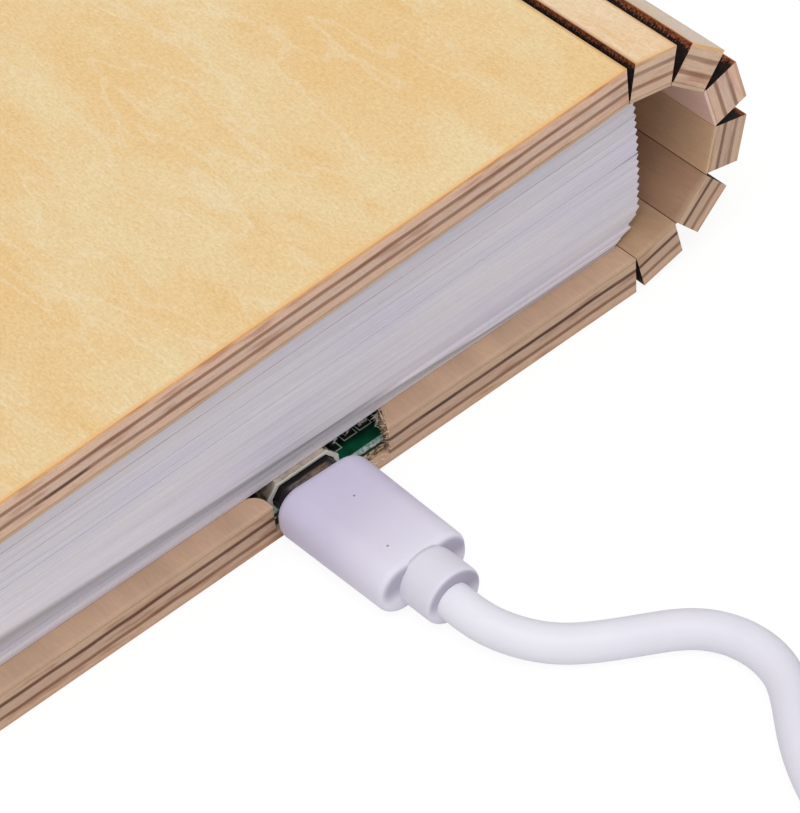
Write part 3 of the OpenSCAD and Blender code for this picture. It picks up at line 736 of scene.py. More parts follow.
@dataclass(frozen=True)
class SolderMask(OnBackCover):
    """Green board: lacquered faces with white printed outlines, and a pale, fibrous cut edge."""

    def outline(self, graph: Graph, place: Socket, box: tuple[float, float, float, float]) -> Socket:
        """1 on the printed outline of a rectangle.

        Args:
            graph: the material's nodes.
            place: coordinates in the back cover's frame.
            box: its middle across and along the spine, and its half sizes, in mm.

        Returns:
            The share of print.
        """
        x, y, _ = graph.split(place)
        across = graph.away(x, box[0])
        along = graph.away(y, box[1])
        away = graph.math("MAXIMUM", graph.math("SUBTRACT", across, box[2]),
                          graph.math("SUBTRACT", along, box[3]))
        return graph.band(graph.math("ABSOLUTE", away), 0.075, 0.035)

    def paint(self, graph: Graph, place: Socket, normal: Socket) -> Surface:
        """Lacquer over faint copper with painted shade, print round the components, and the rough edge of
        glass cloth with a painted shadow in its gap.
        """
        x, y, _ = graph.split(place)
        _, _, up = graph.split(normal)
        copper = graph.noise(place, (0.5, 0.5, 0.5), 6.0, 1.0)
        mask = graph.mix(graph.band(copper, 0.35, 0.65), srgb(4, 66, 46), srgb(8, 92, 64))
        # Painted shade: the board darkens further in under the pages and at its left beside the notch's
        # wall.
        dark = graph.math("MAXIMUM", graph.band(y, 2.6, 3.6), graph.band(x, -41.4, -42.0))
        mask = graph.mix(dark, mask, srgb(6, 26, 20))
        for box in ((-33.8, 4.15, 0.78, 1.1), (-31.6, 4.55, 0.72, 1.05), (-29.85, 4.55, 0.7, 1.05),
                    (-28.2, 4.2, 0.35, 0.6)):
            mask = graph.mix(self.outline(graph, place, box), mask, srgb(190, 202, 188))
        cloth = graph.noise(place, (2.6, 2.6, 5.0), 8.0, 4.0, 0.75)
        rasped = graph.mix(graph.band(cloth, 0.35, 0.65), srgb(96, 140, 128), srgb(208, 222, 216))
        resin = graph.mix(graph.band(cloth, 0.42, 0.6), srgb(84, 68, 44), srgb(218, 200, 164))
        resin = graph.mix(graph.band(cloth, 0.62, 0.7), resin, srgb(126, 140, 96))
        line = graph.scaled(cloth, 0.3, y)
        # Painted shadow: a dark gap between the rough front margin and the pale cut strip.
        gap = graph.math("MULTIPLY", graph.band(line, 0.98, 1.1), graph.band(line, 1.4, 1.26))
        front = graph.mix(graph.band(line, 1.16, 1.22), resin, rasped)
        front = graph.mix(gap, front, srgb(44, 36, 26))
        mask = graph.mix(graph.band(line, 1.98, 1.88), mask, front)
        # Painted shade on the left of the board's cut edge.
        edge = graph.mix(graph.band(x, -41.4, -42.0), resin, srgb(40, 32, 26))
        flat = graph.math("GREATER_THAN", graph.math("ABSOLUTE", up), 0.6)
        return Surface(graph.mix(flat, edge, mask), rough=0.3, height=cloth, depth=0.02, gloss=0.45)


@dataclass(frozen=True)
class CellFoil(Finish):
    """Crinkled silvery pouch of the cell."""

    def paint(self, graph: Graph, place: Socket, normal: Socket) -> Surface:
        """Soft dents and fine crinkles."""
        crinkle = graph.noise(place, (0.5, 0.4, 1.0), 3.0, 5.0, 0.7)
        colour = graph.mix(graph.band(crinkle, 0.3, 0.8), srgb(214, 216, 220), srgb(178, 181, 187))
        return Surface(colour, rough=0.34, height=crinkle, depth=0.12, metal=0.85)


@dataclass(frozen=True)
class LampGel(OnBackCover):
    """Yellow phosphor gel of the lamps in a white moulded frame."""

    def paint(self, graph: Graph, place: Socket, normal: Socket) -> Surface:
        """Yellow on top, and white round it."""
        _, _, up = graph.split(normal)
        top = graph.band(up, 0.5, 0.8)
        grain = graph.noise(place, (3.0, 3.0, 3.0), 1.0, 2.0)
        gel = graph.mix(graph.band(grain, 0.3, 0.7), srgb(245, 209, 72), srgb(232, 190, 52))
        return Surface(graph.mix(top, srgb(238, 236, 228), gel), rough=0.35, height=grain, depth=0.01)


# ---- Making pieces -----------------------------------------------------------------------------


class Slot(Enum):
    """Names of material slots."""

    WOOD = "birch_plywood"
    LINING = "lining"
    PAPER = "page_paper"
    BOARD = "board"
    STEEL = "plated_steel"
    BLACK = "black_plastic"
    CHIP = "chip_ceramic"
    FOIL = "cell_foil"
    STRIP = "strip_board"
    GEL = "lamp_gel"
    LEAD = "lead_skin"
    MAGNET = "magnet_plating"
    MOULDING = "plug_moulding"
    CABLE = "cable_skin"
    TIE = "tie_band"


def dress(nodes: Iterable[str], material: bpy.types.Material) -> None:
    """Gives CAD nodes a material.

    Args:
        nodes: names of the nodes.
        material: what they get.
    """
    for name in nodes:
        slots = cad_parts[name].data.materials
        slots.clear()
        slots.append(material)
        LOG.info("dressed %s in %s", name, material.name)


def close_up(mesh: bpy.types.Mesh, merge: float = 1e-7) -> None:
    """Merges doubled points and turns every face outwards."""
    work = bmesh.new()
    work.from_mesh(mesh)
    bmesh.ops.remove_doubles(work, verts=work.verts, dist=merge)
    bmesh.ops.recalc_face_normals(work, faces=work.faces)
    work.to_mesh(mesh)
    work.free()


def make_piece(name: str, points: Sequence[Vector], faces: Sequence[Sequence[int]],
               material: bpy.types.Material, smooth: bool = True) -> bpy.types.Object:
    """A mesh object at the origin, from points in metres.

    Args:
        name: the piece's name.
        points: its corners.
        faces: its faces, by corner number.
        material: its material.
        smooth: whether its shading is smooth.

    Returns:
        The object, linked to the scene.
    """
    mesh = bpy.data.meshes.new(name)
    mesh.from_pydata([tuple(point) for point in points], [], faces)
    close_up(mesh)
    mesh.shade_smooth() if smooth else mesh.shade_flat()
    mesh.materials.append(material)
    made = bpy.data.objects.new(name, mesh)
    link(made)
    return made


def loft(name: str, rings: Sequence[Sequence[Vector]],
         material: bpy.types.Material) -> bpy.types.Object:
    """A closed skin through rings of equal count, with flat ends."""
    sides = len(rings[0])
    points = [point for ring in rings for point in ring]
    faces = []
    for i in range(len(rings) - 1):
        for s in range(sides):
            a, b = i * sides + s, i * sides + (s + 1) % sides
            faces.append((a, b, b + sides, a + sides))
    faces.append(tuple(range(sides)))
    faces.append(tuple(range((len(rings) - 1) * sides, len(rings) * sides)))
    return make_piece(name, points, faces, material)


def seat(piece: bpy.types.Object, body: str, stands_for: Iterable[str] = ()) -> None:
    """Puts a finished piece on its body.

    Args:
        piece: the piece.
        body: the CAD body that it moves with.
        stands_for: CAD nodes that it replaces.
    """
    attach(piece, body)
    label(stands_for)
    LOG.info("%s rides on %s", piece.name, body)


def label(stands_for: Iterable[str] = ()) -> None:
    """Hides the CAD nodes that a piece replaces."""
    if stands_for:
        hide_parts(*stands_for)


class Rule(Graph):
    """A geometry tree with named sizes; it ends in real meshes with a material."""

    def __init__(self, name: str) -> None:
        """Starts an empty tree with its output."""
        super().__init__(bpy.data.node_groups.new(name, "GeometryNodeTree"))
        self.tree.interface.new_socket("Geometry", in_out="OUTPUT", socket_type="NodeSocketGeometry")
        self.entry = self.tree.nodes.new("NodeGroupInput")
        self.names: dict[str, str] = {}

    def size(self, name: str, kind: str = "NodeSocketFloat") -> Socket:
        """Adds a named input and gives its socket."""
        made = self.tree.interface.new_socket(name, in_out="INPUT", socket_type=kind)
        self.names[name] = made.identifier
        return next(s for s in self.entry.outputs if s.identifier == made.identifier)

    def finish(self, geometry: Socket) -> None:
        """Joins the made geometry to the output."""
        material = self.size("Material", "NodeSocketMaterial")
        real = self.node("GeometryNodeRealizeInstances", {0: geometry})
        dressed = self.node("GeometryNodeSetMaterial", {"Geometry": real.outputs[0],
                                                        "Material": material})
        end = self.tree.nodes.new("NodeGroupOutput")
        self.tree.links.new(dressed.outputs[0], end.inputs[0])

    def make(self, name: str, material: bpy.types.Material, **sizes: object) -> bpy.types.Object:
        """Runs the tree once and keeps the result as a plain mesh.

        Args:
            name: the piece's name.
            material: the piece's material.
            sizes: a value for each named input, with _ for a space.

        Returns:
            The piece, at the origin.
        """
        carrier = bpy.data.objects.new(name + "_rule", bpy.data.meshes.new(name + "_rule"))
        link(carrier)
        modifier = carrier.modifiers.new("rule", "NODES")
        modifier.node_group = self.tree
        modifier[self.names["Material"]] = material
        for key, value in sizes.items():
            modifier[self.names[key.replace("_", " ")]] = value
        seen = carrier.evaluated_get(bpy.context.evaluated_depsgraph_get())
        mesh = bpy.data.meshes.new_from_object(seen)
        mesh.name = name
        carrier.modifiers.remove(modifier)
        bpy.data.objects.remove(carrier)
        close_up(mesh)
        made = bpy.data.objects.new(name, mesh)
        link(made)
        return made


# ---- Camera, light and floor -------------------------------------------------------------------


@dataclass(frozen=True)
class Studio:
    """Camera, soft light and pale floor.

    Args:
        azimuth: bearing of the camera, in degrees.
        elevation: its height angle, in degrees.
        roll: its turn about the line of sight, in degrees.
        distance: how far it stands from the back cover's fold, in mm.
        offset: how far it stands aside and above the line to that fold, in mm.
        sensor: its sensor's longer side in mm.
        lens: its focal length in mm.
        dome: strength of the dome's light.
        sun: strength of the lamp.
        sun_spread: width of the lamp, in degrees.
        sun_turn: its lean about x and y, in degrees.
        floor_tone: how pale the floor is, and the share of it that is plain white to the eye.
        floor_glow: strength of that white.
        floor_reach: half the floor's side, in metres.
    """

    azimuth: float = -37.133032
    elevation: float = 46.052085
    roll: float = -5.680826
    distance: float = 294.0418
    offset: tuple[float, float] = (-22.7097, -11.2642)
    sensor: float = 36
    lens: float = 143.090923
    dome: float = 0.56
    sun: float = 1.25
    sun_spread: float = 50
    sun_turn: tuple[float, float] = (14, -16)
    floor_tone: float = 0.82
    floor_glow: float = 1.08
    floor_reach: float = 1.2

    def camera(self) -> None:
        """Sets up the camera from its angles."""
        a, e, r = (math.radians(v) for v in (self.azimuth, self.elevation, self.roll))
        back = Vector((math.sin(a) * math.cos(e), -math.cos(a) * math.cos(e), math.sin(e)))
        right = Vector((math.cos(a), math.sin(a), 0))
        up = back.cross(right)
        spot = back * self.distance + right * self.offset[0] + up * self.offset[1]
        spot = spot + Vector((SPINE.hinge_x, SPINE.head_y, SPINE.cover_total))
        across = right * math.cos(r) + up * math.sin(r)
        top = up * math.cos(r) - right * math.sin(r)
        data = bpy.data.cameras.new("camera")
        data.lens = self.lens
        data.sensor_width = self.sensor
        data.clip_start = 0.01
        view = bpy.data.objects.new("camera", data)
        view.matrix_world = Matrix((across, top, back)).transposed().to_4x4()
        view.location = spot * MM
        link(view)
        bpy.context.scene.camera = view

    def light(self) -> None:
        """A white dome that is plain white to the eye, and one wide lamp overhead."""
        world = bpy.data.worlds.new("dome")
        graph = blank_graph(world)
        path = graph.node("ShaderNodeLightPath")
        seen = graph.math("MAXIMUM", path.outputs["Is Camera Ray"], path.outputs["Is Glossy Ray"])
        seen = graph.math("MAXIMUM", seen, path.outputs["Is Transmission Ray"])
        strength = graph.scaled(seen, 1 - self.dome, self.dome)
        glow = graph.node("ShaderNodeBackground", {"Color": (1, 1, 1, 1), "Strength": strength})
        graph.node("ShaderNodeOutputWorld", {"Surface": glow.outputs[0]})
        bpy.context.scene.world = world
        lamp = bpy.data.lights.new("overhead", "SUN")
        lamp.energy = self.sun
        lamp.angle = math.radians(self.sun_spread)
        holder = bpy.data.objects.new("overhead", lamp)
        holder.rotation_euler = (*(math.radians(turn) for turn in self.sun_turn), 0)
        link(holder)

    def floor(self) -> None:
        """A pale floor that stays white to the eye and keeps a soft shadow."""
        tone, reach = self.floor_tone, self.floor_reach
        made = bpy.data.materials.new("floor")
        graph = blank_graph(made)
        path = graph.node("ShaderNodeLightPath")
        matt = graph.node("ShaderNodeBsdfDiffuse", {"Color": (tone, tone, tone, 1)})
        glow = graph.node("ShaderNodeEmission", {"Color": (1, 1, 1, 1),
                                                    "Strength": self.floor_glow})
        share = graph.math("MULTIPLY", path.outputs["Is Camera Ray"], tone)
        both = graph.node("ShaderNodeMixShader", {0: share, 1: matt.outputs[0], 2: glow.outputs[0]})
        graph.node("ShaderNodeOutputMaterial", {"Surface": both.outputs[0]})
        corners = [Vector((x, y, -0.0001)) for x, y in
                   ((-reach, -reach), (reach, -reach), (reach, reach), (-reach, reach))]
        make_piece("floor", corners, [(0, 1, 2, 3)], made, smooth=False)


# ---- Cable -------------------------------------------------------------------------------------


def smooth_line(points: Sequence[Vector], steps: int) -> list[Vector]:
    """A smooth line through the points, with the given steps between neighbours."""
    line = []
    for i in range(len(points) - 1):
        before = points[max(0, i - 1)]
        first, second = points[i], points[i + 1]
        after = points[min(len(points) - 1, i + 2)]
        for s in range(steps):
            t = s / steps
            line.append(0.5 * (2 * first + (second - before) * t
                               + (2 * before - 5 * first + 4 * second - after) * t * t
                               + (3 * first - before - 3 * second + after) * t ** 3))
    line.append(points[-1])
    return line


@dataclass(frozen=True)
class ChargingCable:
    """The free cable: it leaves the collar, lies on the table and is wound up out of the way.

    Args:
        diameter: its diameter in mm; all lengths here are in mm.
        exit: where it leaves the collar.
        steps: its route from there to the coil, aside and along from the exit, and its height.
        centre: middle of the coil.
        tail: its route from the coil to the far plug, from the coil's middle, and its height.
        radii: radii of the coil's turns, from the outermost inwards.
        levels: heights of its layers.
        end_angle: angle that the coil turns through, in degrees.
        shift_angle: angle that it takes to change its turn or layer.
        turn_step: angle between the coil's points.
    """

    diameter: float = 3.5
    exit: tuple[float, float, float] = (PLUG_AXIS[0], COLLAR_BACK, PLUG_AXIS[1])
    steps: tuple[tuple[float, float, float], ...] = (
        (0.04, -1.98, 2.9), (0.41, -3.88, 2.7), (1.16, -5.67, 2.42), (2.22, -7.31, 2.12),
        (3.51, -8.79, 1.89), (4.95, -10.08, 1.8), (6.5, -11.25, 1.8), (8.13, -12.34, 1.8),
        (9.77, -13.38, 1.8), (11.4, -14.46, 1.8), (12.86, -15.74, 1.8), (14, -17.32, 1.8),
        (14.72, -19.12, 1.8), (14.99, -21.05, 1.8), (14.78, -22.98, 1.8), (14.1, -24.81, 1.8),
        (13.05, -26.44, 1.8), (11.85, -27.99, 1.8), (10.74, -29.46, 1.8), (9.5, -31.35, 1.8),
        (8.25, -33.74, 1.82), (7.13, -36.62, 1.89), (6.29, -40.06, 2.03), (5.92, -44, 2.17),
        (5.91, -48.16, 2.25))
    centre: tuple[float, float] = (22.196, -131)
    tail: tuple[tuple[float, float, float], ...] = (
        (14.3, -19.8, 9.2), (20.5, -17.5, 8.2), (26.1, -15.4, 6), (30.4, -11.9, 4.5),
        (33.1, -7.6, 3.9), (34, -3, 3.9), (34, 0, 3.9))
    radii: tuple[float, float, float] = (23.5, 20, 16.5)
    levels: tuple[float, float, float] = (2.25, 5.75, 9.25)
    end_angle: float = 2269.9
    shift_angle: float = 28
    turn_step: float = 7

    def coil(self) -> list[Vector]:
        """Points of the coil: three turns inwards, three outwards on them, and one on top."""
        stages = [(298, 1, 0), (658, 2, 0), (990, 2, 1), (1322, 1, 1), (1682, 0, 1), (2014, 0, 2)]
        points, angle = [], 0.0
        while angle < self.end_angle:
            radius, level = self.radii[0], self.levels[0]
            for start, ring, layer in stages:
                t = min(1.0, max(0.0, (angle - start) / self.shift_angle))
                ease = t * t * (3 - 2 * t)
                radius += (self.radii[ring] - radius) * ease
                level += (self.levels[layer] - level) * ease
            turn = math.radians(180 + angle)
            points.append(Vector((self.centre[0] + radius * math.cos(turn),
                                  self.centre[1] + radius * math.sin(turn), level)))
            angle += self.turn_step
        return points

    def line(self) -> list[Vector]:
        """The whole centreline, in metres."""
        coil = self.coil()
        out = [Vector(self.exit)]
        out += [Vector((self.exit[0] + x, self.exit[1] + y, z)) for x, y, z in self.steps]
        home = [Vector((self.centre[0] + x, self.centre[1] + y, z)) for x, y, z in self.tail]
        out = smooth_line(out + coil[:1], 5)[:-1]
        home = smooth_line(coil[-1:] + home, 5)[1:]
        return [point * MM for point in out + coil + home]

    def build(self, skin: bpy.types.Material) -> None:
        line = self.line()
        data = bpy.data.curves.new("charging_cable", "CURVE")
        data.dimensions = "3D"
        data.bevel_depth = self.diameter / 2 * MM
        data.bevel_resolution = 5
        data.use_fill_caps = True
        spline = data.splines.new("POLY")
        spline.points.add(len(line) - 1)
        for point, place in zip(spline.points, line):
            point.co = (*place, 1.0)
        spline.use_smooth = True
        data.materials.append(skin)
        made = bpy.data.objects.new("charging_cable", data)
        link(made)
        seat(made, "plug", ["cable", "cable_coil", "cable_tail"])


# ---- Pages -------------------------------------------------------------------------------------


class Half(Enum):
    """Which half of the book a leaf belongs to."""

    BACK = "back"
    FRONT = "front"


@dataclass(frozen=True)
class PaperFan:
    """The folded paper. Each leaf is two sheets that meet in a fold at the fore edge, and
    neighbouring leaves meet in a fold at the spine.

    Args:
        leaves: leaves in each half; all lengths are in mm.
        fore_x: place of the fore edge, from the cover's fold.
        margin: how far the paper stands behind the covers' head and tail.
        base: height of the first sheet over the cover.
        leaf_gap: air between the two middle leaves.
        hairline: air between neighbouring sheets.
        tooth: depth of the valleys between the folds at the spine.
        fold: depth of the folds at the fore edge.
        overhang: how far the leaves reach past the cover's fold.
        round_depth: how far the first leaves draw back from that.
        round_height: height up to which they do.
        root_clearance: air between a leaf's root and the first slat.
        endpaper: thickness of an endpaper.
        endpaper_setback: how far an endpaper stops short of the fold.
        first_share: where a smooth step from 0 to 1 reaches a tenth; it is not used.
    """

    leaves: int = 10
    fore_x: float = -73.5
    margin: float = 2.5
    base: float = 0.28
    leaf_gap: float = 0.03
    hairline: float = 0.003
    tooth: float = 0.3
    fold: float = 0.3
    overhang: float = 3.0
    round_depth: float = 2.2
    round_height: float = 3.0
    root_clearance: float = 0.1
    endpaper: float = 0.2
    endpaper_setback: float = 0.4
    first_share: float = 0.1958

    def middle_line(self) -> tuple[float, float]:
        """Height at the fold and slope of the book's middle plane."""
        slope = math.tan(math.radians(SPINE.taper / 2))
        x, z = SPINE.fold_point(3)
        return z - x * slope, slope

    def leaf_line(self, count: float) -> tuple[float, float]:
        """Height at the fold and slope of the upper side of the first leaves."""
        height, slope = self.middle_line()
        share = count / self.leaves
        return self.base + (height - self.leaf_gap / 2 - self.base) * share, slope * share

    def root(self, k: int) -> float:
        """How far leaf k reaches past the first fold."""
        low = max(0.0, 1 - self.leaf_line(k - 0.5)[0] / self.round_height)
        rounded = self.overhang - self.round_depth * low ** 2
        clear = self.leaf_line(k)[0] - self.leaf_gap / 2 - self.root_clearance
        uneven = 0.05 * (1 + math.sin(k * 5.3))
        return min(rounded, clear / math.tan(math.radians(SPINE.turns[0]))) - uneven

    def rule(self) -> Rule:
        """Geometry tree of one sheet: a box of fine steps, drawn onto the sheet's two sides."""
        rule = Rule("folded_sheet")
        sizes = {n: rule.size(n) for n in (
            "Fore Low", "Fore High", "Root Low", "Root High", "Low", "Low Slope", "High",
            "High Slope", "Head", "Tail", "Ragged", "Shift")}
        turn, origin = rule.size("Turn", "NodeSocketRotation"), rule.size("Origin", "NodeSocketVector")
        box = rule.node("GeometryNodeMeshCube", {"Size": (1, 1, 1), "Vertices X": 41,
                                                 "Vertices Y": 9, "Vertices Z": 2})
        place = rule.node("GeometryNodeInputPosition").outputs[0]
        u, v, w = rule.split(rule.vector("ADD", place, (0.5, 0.5, 0.5)))

        def between(low: Value, high: Value, share: Value) -> Socket:
            """A value between two others."""
            return rule.scaled(rule.math("SUBTRACT", high, low), share, low)

        x = between(between(sizes["Fore Low"], sizes["Root Low"], u),
                    between(sizes["Fore High"], sizes["Root High"], u), w)
        reach = rule.math("ABSOLUTE", x)
        low = rule.scaled(sizes["Low Slope"], rule.math("MULTIPLY", reach, -1), sizes["Low"])
        high = rule.scaled(sizes["High Slope"], rule.math("MULTIPLY", reach, -1), sizes["High"])
        z = between(low, high, w)
        wave = rule.noise(rule.join(rule.math("MULTIPLY", x, 0.07), sizes["Shift"], v), (1, 1, 1),
                          0.0, 2.0)
        wave = rule.math("MULTIPLY", rule.math("SUBTRACT", wave, 0.5), sizes["Ragged"])
        y = rule.math("ADD", between(sizes["Head"], sizes["Tail"], v), wave)
        local = rule.vector("SCALE", rule.join(x, y, z))
        local.node.inputs["Scale"].default_value = MM
        drawn = rule.node("GeometryNodeSetPosition", {"Geometry": box.outputs["Mesh"],
                                                      "Position": local})
        placed = rule.node("GeometryNodeTransform", {"Geometry": drawn.outputs[0],
                                                     "Translation": origin, "Rotation": turn})
        flat = rule.node("GeometryNodeSetShadeSmooth", {"Geometry": placed.outputs[0],
                                                        "Shade Smooth": False})
        rule.finish(flat.outputs[0])
        return rule

    def body(self, half: Half, k: int) -> str:
        """The CAD body that leaf k rides on."""
        return "middle_leaves" if k == self.leaves else f"{half.value}_leaf_{k}"

    def head(self, height: float, seed: int) -> float:
        """How far a sheet's edge stands behind the head: the lower sheets draw back over the endpaper."""
        draw = 0.42 * math.exp(-max(0.0, height - 1.1) / 0.55) if height > 1.0 else -0.12
        return self.margin + draw + 0.024 * math.sin(seed * 2.4) + 0.016 * math.sin(seed * 5.1)

    def build(self, paper: bpy.types.Material) -> None:
        """Makes all sheets of both halves and the two endpapers."""
        rule = self.rule()
        for half in Half:
            panel = BACK if half is Half.BACK else FRONT
            sign = 1 if half is Half.BACK else -1
            for k in range(1, self.leaves + 1):
                for upper in (False, True):
                    self.sheet(rule, paper, half, panel, sign, k, upper)
            name = f"{half.value}_endpaper"
            made = rule.make(name + "_sheet", paper, Fore_Low=sign * self.fore_x,
                             Fore_High=sign * self.fore_x, Root_Low=-sign * self.endpaper_setback,
                             Root_High=-sign * self.endpaper_setback, Low=0.0, Low_Slope=0.0,
                             High=self.endpaper, High_Slope=0.0, Head=self.margin - 0.15,
                             Tail=SPINE.cover_height - self.margin, Ragged=0.08, Shift=40.0,
                             Turn=(0, -math.radians(panel.turn), 0), Origin=panel.origin)
            seat(made, half.value, [name])

    def sheet(self, rule: Rule, paper: bpy.types.Material, half: Half, panel: Panel, sign: int,
              k: int, upper: bool) -> None:
        """Makes one sheet; the upper sheet of the middle leaves rides on their body.

        Args:
            rule: the sheet's geometry tree.
            paper: its material.
            half: the half of the book.
            panel: the cover's frame.
            sign: 1 where the cover runs to -x, -1 where it runs to +x.
            k: number of the leaf, from the cover.
            upper: whether it is the sheet farther from the cover.
        """
        middle = self.leaf_line(k - 0.5)
        outer = self.leaf_line(k if upper else k - 1)
        gap = self.hairline / 2
        tip = self.root(k) if upper else (self.root(k - 1) if k > 1 else -self.endpaper_setback)
        before = self.root(k - 1) if k > 1 else -self.endpaper_setback
        valley = (before + self.root(k)) / 2 - self.tooth
        fold, crease = self.fore_x, self.fore_x + self.fold
        low, high = (middle, outer) if upper else (outer, middle)
        seed = k * 2 + upper + (37 if half is Half.FRONT else 0)
        height = self.leaf_line(k - (0.25 if upper else 0.75))[0]
        name = f"{half.value}_leaf_{k}_{'upper' if upper else 'lower'}"
        made = rule.make(
            name, paper,
            Fore_Low=sign * (fold if upper else crease), Fore_High=sign * (crease if upper else fold),
            Root_Low=sign * (valley if upper else tip), Root_High=sign * (tip if upper else valley),
            Low=low[0] + gap, Low_Slope=low[1], High=high[0] - gap, High_Slope=high[1],
            Head=self.head(height, seed) if half is Half.BACK else self.head(9.0, seed),
            Tail=SPINE.cover_height - self.head(9.0, seed + 3), Ragged=0.05, Shift=float(seed),
            Turn=(0, -math.radians(panel.turn), 0), Origin=panel.origin)
        label([f"{half.value}_leaf_{k}"])
        if k == self.leaves and upper:
            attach(made, "middle_leaves")
        elif upper:
            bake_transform(made)
        elif k > 1:
            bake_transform(made)
        else:
            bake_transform(made)
        LOG.info("%s bends with its neighbours", name)


# ---- The body ----------------------------------------------------------------------------------


@dataclass(frozen=True)
class Woodwork:
    """Plywood covers, slats and their linings, with the creased webs in the folds.

    Args:
        web_top: upper face of a web in the panel's frame, in mm.
        web_bottom: its lower face.
    """

    web_top: float = -0.03
    web_bottom: float = -0.27

    def edges(self) -> dict[int, Plies]:
        """Tones of the cut edges, by panel; smoke browned those near the back cover."""
        smoked = dict(skin=srgb(212, 178, 152), light=srgb(201, 168, 144), deep=srgb(206, 172, 145),
                      rim=srgb(206, 166, 136), outer_depth=1.25)
        golden = Plies(skin=srgb(228, 192, 164), light=srgb(222, 186, 158),
                       outer_line=srgb(172, 136, 112), inner_line=srgb(170, 126, 96),
                       deep=srgb(224, 186, 158), rim=srgb(240, 190, 136), outer_depth=1.3)
        return {
            0: Plies(outer_line=srgb(146, 105, 79), inner_line=srgb(108, 70, 49), **smoked),
            1: Plies(outer_line=srgb(148, 110, 84), inner_line=srgb(96, 62, 41), **smoked),
            2: Plies(outer_line=srgb(158, 120, 95), inner_line=srgb(106, 74, 56), **smoked),
            3: Plies(outer_line=srgb(164, 130, 109), inner_line=srgb(136, 100, 80), **smoked),
            4: Plies(outer_line=srgb(172, 138, 115), inner_line=srgb(160, 120, 94),
                     rim=srgb(214, 172, 142), outer_depth=1.3),
            5: golden, 6: golden}

    def build(self) -> None:
        """Dresses every wooden node in the finish of its own panel."""
        edges = self.edges()
        left, right = SPINE.cut_gap / 2, SPINE.pitch - SPINE.cut_gap / 2
        back = BirchPly(BACK, 4.0, (-left,), edges[0], (Scorch(-10.0, 9.0), Scorch(-24.0, 3.0)))
        dress(["back_cover"], back.build("back_ply"))
        front = BirchPly(FRONT, 21.0, (left,), scorches=(Scorch(62.0, 3.5),))
        dress(["front_cover"], front.build("front_ply"))
        dress(["back_lining"], WoodLining(BACK, 2.0, ()).build("back_lining_tan"))
        dress(["front_lining"], WoodLining(FRONT, 9.0, ()).build("front_lining_tan"))
        tans = (srgb(199, 164, 132), srgb(182, 144, 116), srgb(222, 183, 146), srgb(248, 208, 189),
                srgb(214, 178, 152), srgb(208, 176, 150))
        # Painted reflection on the outer faces of slats 5 and 6, which see the white surroundings at a
        # grazing angle.
        painted_reflections = {5: (0.82, 0.86, 1.25, 1.0), 6: (1.03, 0.99, 1.14, 1.0)}
        for k, tan in enumerate(tans, 1):
            panel = SPINE.panel(k)
            wood = BirchPly(panel, 30.0 + 7 * k, (left, right), edges[k],
                            painted_reflection=painted_reflections.get(k, (1.0, 1.0, 1.0, 1.0)))
            dress([f"spine_slat_{k}"], wood.build(f"slat_ply_{k}"))
            lining = WoodLining(panel, 50.0 + 3 * k, (), tan)
            dress([f"fold_strip_{k}"], lining.build(f"strip_tan_{k}"))
        self.webs(tans)

    def webs(self, tans: Sequence[Colour]) -> None:
        """Fills the folds of the lining with thin creased webs.

        The middle fold stays open, because its slit nearly shuts when the book lies flat.

        Args:
            tans: tones of the linings of the slats.
        """
        half, top, bottom = SPINE.cut_gap / 2, self.web_top, self.web_bottom
        for k in (1, 2, 3, 5, 6, 7):
            near = Panel(SPINE.panel(k).origin, SPINE.total_turn(k - 1))
            far = SPINE.panel(k)
            section = [near.place(-half, 0, bottom), near.place(-half, 0, top),
                       far.place(half, 0, top), far.place(half, 0, bottom)]
            # The web's lining finish draws painted shade along its crease.
            creased = WoodLining(far, 70.0 + k, (0.0,), tans[max(k - 2, 0)])
            brown = creased.build(f"crease_tan_{k}")
            reach = Vector((0, SPINE.cover_height * MM, 0))
            web = loft(f"fold_web_{k}", [section, [point + reach for point in section]], brown)
            web.data.shade_flat()
            label()
            start, end = near.place(-half, 0, top), far.place(half, 0, top)
            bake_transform(web)


@dataclass(frozen=True)
class Fray:
    """Splinters scattered along a line of cut wood.

    Args:
        name: name of the piece.
        material: its material.
        start: start of the line in the back cover's frame, in mm.
        end: its end.
        height: how far up the splinters spread.
        tilt: their lean, as turns about x, y and z.
        count: how many there are.
        length: their length.
        thick: half their thickness.
    """

    name: str
    material: bpy.types.Material
    start: tuple[float, float, float]
    end: tuple[float, float, float]
    height: float
    tilt: tuple[float, float, float]
    count: int
    length: float
    thick: float


